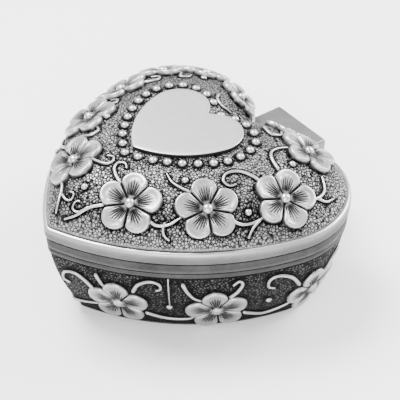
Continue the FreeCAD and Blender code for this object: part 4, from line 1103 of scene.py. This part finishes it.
# --- case
@dataclass
class Case:
    """The bowl: frieze of blossoms on its side, smooth rim, foot, floor and hinge lug."""
    outline: HeartOutline = field(default_factory=HeartOutline)
    hinge: Hinge = field(default_factory=Hinge)
    height: float = 27.9
    wall: float = 2.2
    rim_inset: float = 0.5
    taper: float = 8.0
    power: float = 1.6
    floor_low: float = 8.0
    floor_high: float = 10.0
    foot: float = 3.0
    rim_band: float = 1.5
    sunk: float = 0.32

    def inset(self, height: float) -> float:
        """How far the side is drawn in at a height."""
        return self.rim_inset + self.taper * (1 - min(max(height / self.height, 0.0), 1.0)) ** self.power

    def climb(self, shell: Shell, low: float, high: float, count: int, extra: float) -> None:
        """Adds rings along the side from one height to another, each drawn in further by extra."""
        for height in np.linspace(low, high, count).tolist():
            shell.add(height, self.inset(height) + extra)

    def plain_side(self) -> Piece:
        """The side before any relief."""
        shell = Shell(self.outline, (6, 50, 84, 6))
        self.climb(shell, -2.0, self.height + 3.0, 30, self.sunk)
        return shell.build("plain_side")

    def spot(self, along: float, height: float) -> Vector:
        """A place on the side, by its distance round from the tip and its height."""
        ring = self.outline.ring((8, 80, 120, 8))
        closed = np.vstack([ring, ring[:1]])
        run = np.r_[0, np.cumsum(np.linalg.norm(np.diff(closed, axis=0), axis=1))]
        drawn = self.outline.ring((8, 80, 120, 8), min(self.inset(height) + self.sunk, 20.0))
        drawn = np.vstack([drawn, drawn[:1]])
        at = along % run[-1]
        return Vector([float(np.interp(at, run, drawn[:, i])) for i in range(2)] + [height])

    def frieze(self, relief: Relief) -> None:
        """Lays the side's blossoms, vines and dots."""
        pattern = Blossom(rim=1.45, heart=0.75, dish=0.45).pattern(0.70)
        blossoms = [(19.3, 11.2, 0.0), (49.0, 10.0, 8.0), (81.6, 10.4, 20.0), (110.0, 11.5, 0.0),
                    (-16.5, 11.5, 12.0), (-47.0, 10.5, 30.0), (-79.0, 11.0, -8.0), (-109.0, 11.5, 10.0)]
        for along, height, turn in blossoms:
            place, normal = relief.ground.nearest(self.spot(along, height))
            relief.blossom(pattern, place, normal, Vector((0, 0, 1)), turn, 1.02, 1.16)
        vines = [
            (19.3, ((-6.0, 14.8), (-8.6, 19.4), (-11.8, 21.6), (-15.2, 20.2), (-16.4, 16.6), (-14.6, 15.2))),
            (19.3, ((5.6, 18.6), (7.4, 22.4), (10.4, 24.4), (13.2, 23.8), (13.8, 21.4), (12.4, 20.6))),
            (19.3, ((-4.8, 24.0), (-3.8, 20.8), (-2.6, 17.6))),
            (19.3, ((7.6, 8.0), (14.0, 5.4), (20.4, 5.2), (23.0, 7.0))),
            (49.0, ((-9.8, 24.4), (-8.4, 20.4), (-6.6, 17.4), (-4.6, 16.0))),
            (49.0, ((3.6, 17.0), (5.8, 19.6), (7.0, 22.6), (6.0, 24.2), (4.4, 22.6))),
            (49.0, ((8.2, 7.4), (14.8, 4.4), (21.6, 5.6), (25.6, 8.2))),
            (81.6, ((-7.6, 16.4), (-11.0, 21.4), (-15.0, 23.6), (-17.6, 22.6), (-17.8, 19.4), (-15.8, 18.0))),
            (81.6, ((3.0, 16.6), (5.6, 20.8), (8.4, 22.0), (9.6, 19.8))),
            (81.6, ((7.8, 8.4), (13.6, 5.8), (20.0, 7.6))),
            (110.0, ((-4.6, 18.6), (-6.4, 22.4), (-9.4, 23.8), (-11.2, 21.6))),
            (110.0, ((5.8, 15.6), (9.6, 19.6), (13.4, 20.8), (15.0, 18.4))),
            (-16.5, ((-5.6, 18.6), (-7.4, 22.4), (-10.4, 24.2), (-13.2, 23.4), (-13.4, 21.0))),
            (-16.5, ((5.6, 18.4), (7.0, 22.0), (9.4, 23.4), (11.2, 21.8))),
            (-16.5, ((-7.6, 8.2), (-14.4, 5.4), (-22.0, 6.6))),
            (-16.5, ((7.6, 7.8), (13.6, 5.2), (20.2, 5.4), (28.0, 7.6))),
            (-47.0, ((-6.0, 16.2), (-9.4, 20.8), (-13.0, 23.0), (-15.8, 21.6), (-15.4, 18.8))),
            (-47.0, ((4.6, 17.4), (6.8, 21.6), (9.6, 23.4), (11.6, 21.4))),
            (-47.0, ((-8.0, 8.0), (-15.0, 5.2), (-23.6, 7.2))),
            (-79.0, ((-5.8, 17.0), (-8.4, 21.4), (-11.8, 23.4), (-14.0, 21.4), (-12.8, 19.4))),
            (-79.0, ((5.4, 17.0), (7.6, 21.4), (10.6, 22.8), (12.2, 20.4))),
            (-79.0, ((-8.0, 8.4), (-14.0, 6.0), (-21.6, 8.0))),
            (-109.0, ((4.8, 18.2), (6.8, 22.2), (9.6, 23.6), (11.4, 21.2))),
            (-109.0, ((-5.8, 15.6), (-9.4, 19.4), (-12.8, 20.2), (-14.2, 18.0))),
        ]
        for base, places in vines:
            flat = curve_through(np.array(places))
            line = np.array([self.spot(base + a, h)[:] for a, h in flat])
            relief.vine(line, Sprig((), 0.62, 0.60))
        for along, height in ((35.1, 12.6), (64.8, 12.2), (97.0, 13.0), (-32.0, 12.4), (-63.0, 12.6), (-94.5, 13.0)):
            place, normal = relief.ground.nearest(self.spot(along, height))
            relief.bead(place, normal, 0.95)
        stalk = np.array([self.spot(35.3, h)[:] for h in np.linspace(26.0, 13.4, 24)])
        relief.vine(stalk, Sprig((), 0.26, 0.8))

    def shell(self, relief: Relief) -> Piece:
        """The bowl's wall as a closed ring: foot, pebbled side, smooth rim and inner wall."""
        shell = Shell(self.outline, (10, 100, 170, 10))
        recess = self.rim_inset + self.taper + self.foot
        top = self.height
        shell.add(self.floor_low, recess).add(0.3, recess).add(0.0, recess - 0.3)
        foot_start = len(shell.rings)
        shell.add(0.0, self.inset(0.0) + 0.5).add(0.22, self.inset(0.0) + 0.12).add(0.9, self.inset(0.9))
        shell.add(1.15, self.inset(1.15) + 0.06)
        side_start = len(shell.rings)
        self.climb(shell, 1.4, top - self.rim_band - 0.15, 58, self.sunk)
        side_end = len(shell.rings)
        # The rim's faces are held darker as painted shade, and its outer top edge at the parting line as painted
        # shadow.
        rim = [(top - self.rim_band, self.sunk + 0.02, 0.0), (top - self.rim_band + 0.16, 0.02, 0.25),
               (top - 0.7, -0.04, 0.22), (top - 0.22, 0.0, 0.21), (top - 0.04, 0.16, 0.4), (top, 0.40, 0.28),
               (top, self.wall - 0.3, 0.4), (top - 0.25, self.wall, 0.4)]
        for height, extra, _ in rim:
            shell.add(height, self.inset(height) + extra)
        inner_start = len(shell.rings)
        self.climb(shell, top - self.rim_band, self.floor_high, 9, self.wall)
        shell.add(self.floor_high, recess)
        points = shell.points()
        size = len(shell.rings[0])
        made = shell.build("case_shell", capped=False, looped=True)
        number = len(points)
        ring = np.arange(number) // size
        side = (ring >= side_start) & (ring < side_end)
        fade = step(ring, side_start, side_start + 2) * (1 - step(ring, side_end - 3, side_end - 1)) * side
        near = np.zeros(number)
        near[side] = relief.closeness(points[side], 0.75)
        # Patina and painted shade: the side is darker near the feet of the relief.
        wear = np.where(side, 0.21 - 0.55 * near, 0.36)
        # Painted shade: darker towards the bottom, where the bowl turns under.
        wear = wear - 0.20 * (1 - step(points[:, 2], 1.0, 9.0)) * side
        # Painted shade just under the rim's lip.
        wear = wear - 0.30 * step(points[:, 2], top - self.rim_band - 1.0, top - self.rim_band - 0.2) * side
        for k, (_, _, shade) in enumerate(rim):
            wear = np.where(ring == side_end + k, shade, wear)
        wear = np.where((ring >= foot_start) & (ring < side_start), 0.30, wear)
        wear = np.where(ring >= inner_start, 0.34, wear)
        paint(made, np.clip(wear, 0, 1))
        paint(made, fade, "ground")
        return smooth(made, 60.0)

    def floor(self) -> Piece:
        """The floor over the key recess, with its holes."""
        shell = Shell(self.outline, (6, 30, 50, 6))
        reach = self.rim_inset + self.taper + self.foot - 0.4
        shell.add(self.floor_low, reach).add(self.floor_high, reach)
        made = shell.build("case_floor")
        holes = [bar("key_hole", 4.2, (-11.0, 4.5, 5.0), (-11.0, 4.5, 12.0), sides=72)]
        for x, y in ((-18.5, -12.7), (18.5, -12.7), (6.0, 10.5)):
            holes.append(bar("screw_hole", 1.3, (x, y, 5.0), (x, y, 12.0)))
        carve(made, *holes)
        paint(made, 0.40)
        return smooth(made, 30.0)

    def lug(self) -> Piece:
        """The lug behind the cleft, with the middle knuckle."""
        half, top = self.hinge.half_width, self.height
        back = self.hinge.y - self.hinge.knuckle_radius - 0.7
        base = block("hinge_lug", (-half, 24.0, top - 9.0), (half, back, top - 0.03), 0.35)
        arm = block("hinge_arm", (-5.2, back - 1.0, top - 9.0), (5.2, self.hinge.y, top - 0.1), 0.3)
        knuckle = carve(self.hinge.knuckle(-5.18, 5.18), self.hinge.hole(-8, 8))
        carve(arm, self.hinge.hole(-8, 8))
        whole = join("case_lug", [base, arm, knuckle])
        paint(whole, 0.36)
        return smooth(whole, 35.0)

    def build(self) -> None:
        """Builds every piece of the case."""
        plain = self.plain_side()
        relief = Relief(Ground(plain))
        bpy.data.objects.remove(plain)
        self.frieze(relief)
        # The case's side, relief and floor take the darker copy of the pewter, as painted shade; the lug keeps the
        # plain pewter.
        for piece in (self.shell(relief), relief.build("case_relief"), self.floor()):
            finished(piece, "case", Finish.PEWTER_LOW, ["case_body"])
        finished(self.lug(), "case", Finish.PEWTER, ["case_body"])


# --- soft inside
@dataclass
class SoftParts:
    """The velvet pad in the lid and the flocked insert round the movement."""
    outline: HeartOutline = field(default_factory=HeartOutline)
    pad_low: float = 31.95
    pad_high: float = 33.4
    pad_inset: float = 3.45

    def lining(self) -> Piece:
        """The padded heart in the lid: flat below, rounded and drawn up at its edge."""
        shell = Shell(self.outline, (8, 60, 90, 8))
        shell.add(self.pad_high, self.pad_inset + 4.0).add(self.pad_high, self.pad_inset + 0.5)
        for turn in np.linspace(0.0, math.pi / 2, 8):
            shell.add(self.pad_high - 0.75 + 0.7 * math.cos(turn) - 0.70 * math.sin(turn) * 0.9,
                      self.pad_inset + 0.55 - 0.5 * math.sin(turn))
        for share in np.linspace(0.08, 1.0, 12):
            drop = math.sin(share * math.pi / 2)
            shell.add(self.pad_high - 0.68 - (self.pad_high - 0.68 - self.pad_low) * drop,
                      self.pad_inset + 0.05 + 9.0 * share)
        made = shell.build("lid_lining_pad")
        apply_modifier(made, "TRIANGULATE")
        return smooth(made, 50.0)

    def insert(self) -> Piece:
        """The flocked insert: the tray's shape with every edge softened."""
        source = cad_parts["insert_tray"]
        made = linked("flocked_insert", source.data.copy())
        outward(made, 0.01)
        apply_modifier(made, "REMESH", mode="VOXEL", voxel_size=0.55 * MM, use_smooth_shade=True)
        apply_modifier(made, "SMOOTH", factor=0.5, iterations=4)
        return smooth(made, 60.0)

    def build(self) -> None:
        """Builds the soft pieces."""
        finished(self.lining(), "lid", Finish.VELVET, ["lid_lining"])
        finished(self.insert(), "case", Finish.FLOCK, ["insert_tray"])


# --- movement
@dataclass
class Movement:
    """The works under the cover: each carried-over node gets its finish."""
    finishes: dict[str, Finish] = field(default_factory=lambda: {
        "hinge_pin": Finish.PIN, "movement_cover": Finish.COVER, "movement_bedplate": Finish.PLATE,
        "spring_housing": Finish.NICKEL, "mainspring": Finish.SPRING, "housing_screws": Finish.SCREW,
        "comb_screws": Finish.SCREW, "movement_screws": Finish.SCREW, "winding_arbor": Finish.SHAFT,
        "winding_key": Finish.NICKEL, "main_wheel": Finish.BRASS, "pinned_cylinder": Finish.BRASS,
        "cylinder_shaft": Finish.SHAFT, "cylinder_pinion": Finish.BRASS, "cylinder_gear": Finish.BRASS,
        "cylinder_bracket_left": Finish.PLATE, "cylinder_bracket_right": Finish.PLATE, "comb": Finish.COMB,
        "governor_pinion": Finish.BRASS, "worm_wheel": Finish.BRASS, "governor_shaft": Finish.SHAFT,
        "worm": Finish.PLASTIC, "fan": Finish.PLASTIC, "governor_frame": Finish.FRAME,
        "stop_rod": Finish.SCREW, "stop_guide": Finish.BRASS,
    })

    def build(self) -> None:
        """Dresses the nodes."""
        for node, finish in self.finishes.items():
            dress(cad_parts[node], finish)
            LOG.info("%s is %s", node, finish.value.name)


# --- studio
@dataclass
class Studio:
    """Floor, lights and camera."""
    target: tuple[float, float, float] = (2.72, 4.21, 22.36)
    azimuth: float = 53.58
    elevation: float = 40.20
    distance: float = 331.6
    lens: float = 100.2
    room: float = 1.6
    aim: tuple[float, float, float] = (0.0, 0.0, 0.03)
    lights: tuple[tuple[str, tuple[float, float, float], float, float], ...] = (
        ("key", (-0.25, -0.10, 0.60), 0.30, 11.0),
        ("fill", (0.50, -0.45, 0.35), 0.45, 5.0),
        ("rim", (0.10, 0.55, 0.40), 0.35, 7.0),
    )

    def back(self) -> Vector:
        """The direction from the target to the camera."""
        turn, rise = math.radians(self.azimuth), math.radians(self.elevation)
        return Vector((math.sin(turn) * math.cos(rise), -math.cos(turn) * math.cos(rise), math.sin(rise)))

    def camera(self) -> None:
        """The camera at the viewing angle."""
        data = bpy.data.cameras.new("camera")
        data.lens = self.lens
        data.sensor_width = 36.0
        data.clip_start, data.clip_end = 0.01, 20.0
        made = linked("camera", data)
        made.location = (Vector(self.target) + self.back() * self.distance) * MM
        made.rotation_euler = self.back().to_track_quat("Z", "Y").to_euler()
        bpy.context.scene.camera = made

    def light(self, name: str, place: Sequence[float], size: float, power: float) -> None:
        """A square soft light, by its place and size in metres, pointed at the aim."""
        data = bpy.data.lights.new(name, "AREA")
        data.size = size
        data.energy = power
        made = linked(name, data)
        made.location = place
        made.rotation_euler = (Vector(place) - Vector(self.aim)).to_track_quat("Z", "Y").to_euler()

    def floor(self) -> None:
        """The flat pale floor."""
        clear_selection()
        bpy.ops.mesh.primitive_plane_add(size=6.0, location=(0.0, 0.0, 0.0))
        made = settle(bpy.context.object)
        made.name = "studio_floor"
        made.data.materials.append(Finish.FLOOR.material())

    def world(self) -> None:
        """An even pale room."""
        world = bpy.data.worlds.new("room")
        bpy.context.scene.world = world
        world.use_nodes = True
        light = world.node_tree.nodes["Background"].inputs
        light[0].default_value = (0.92, 0.93, 0.94, 1.0)
        light[1].default_value = self.room

    def build(self) -> None:
        """Sets the scene."""
        self.camera()
        self.floor()
        self.world()
        for name, place, size, power in self.lights:
            self.light(name, place, size, power)


def main() -> None:
    """Builds the whole scene."""
    logging.basicConfig(level=logging.INFO, format="%(name)s: %(message)s")
    Studio().build()
    Lid().build()
    Case().build()
    SoftParts().build()
    Movement().build()


if __name__ == "__main__":
    main()
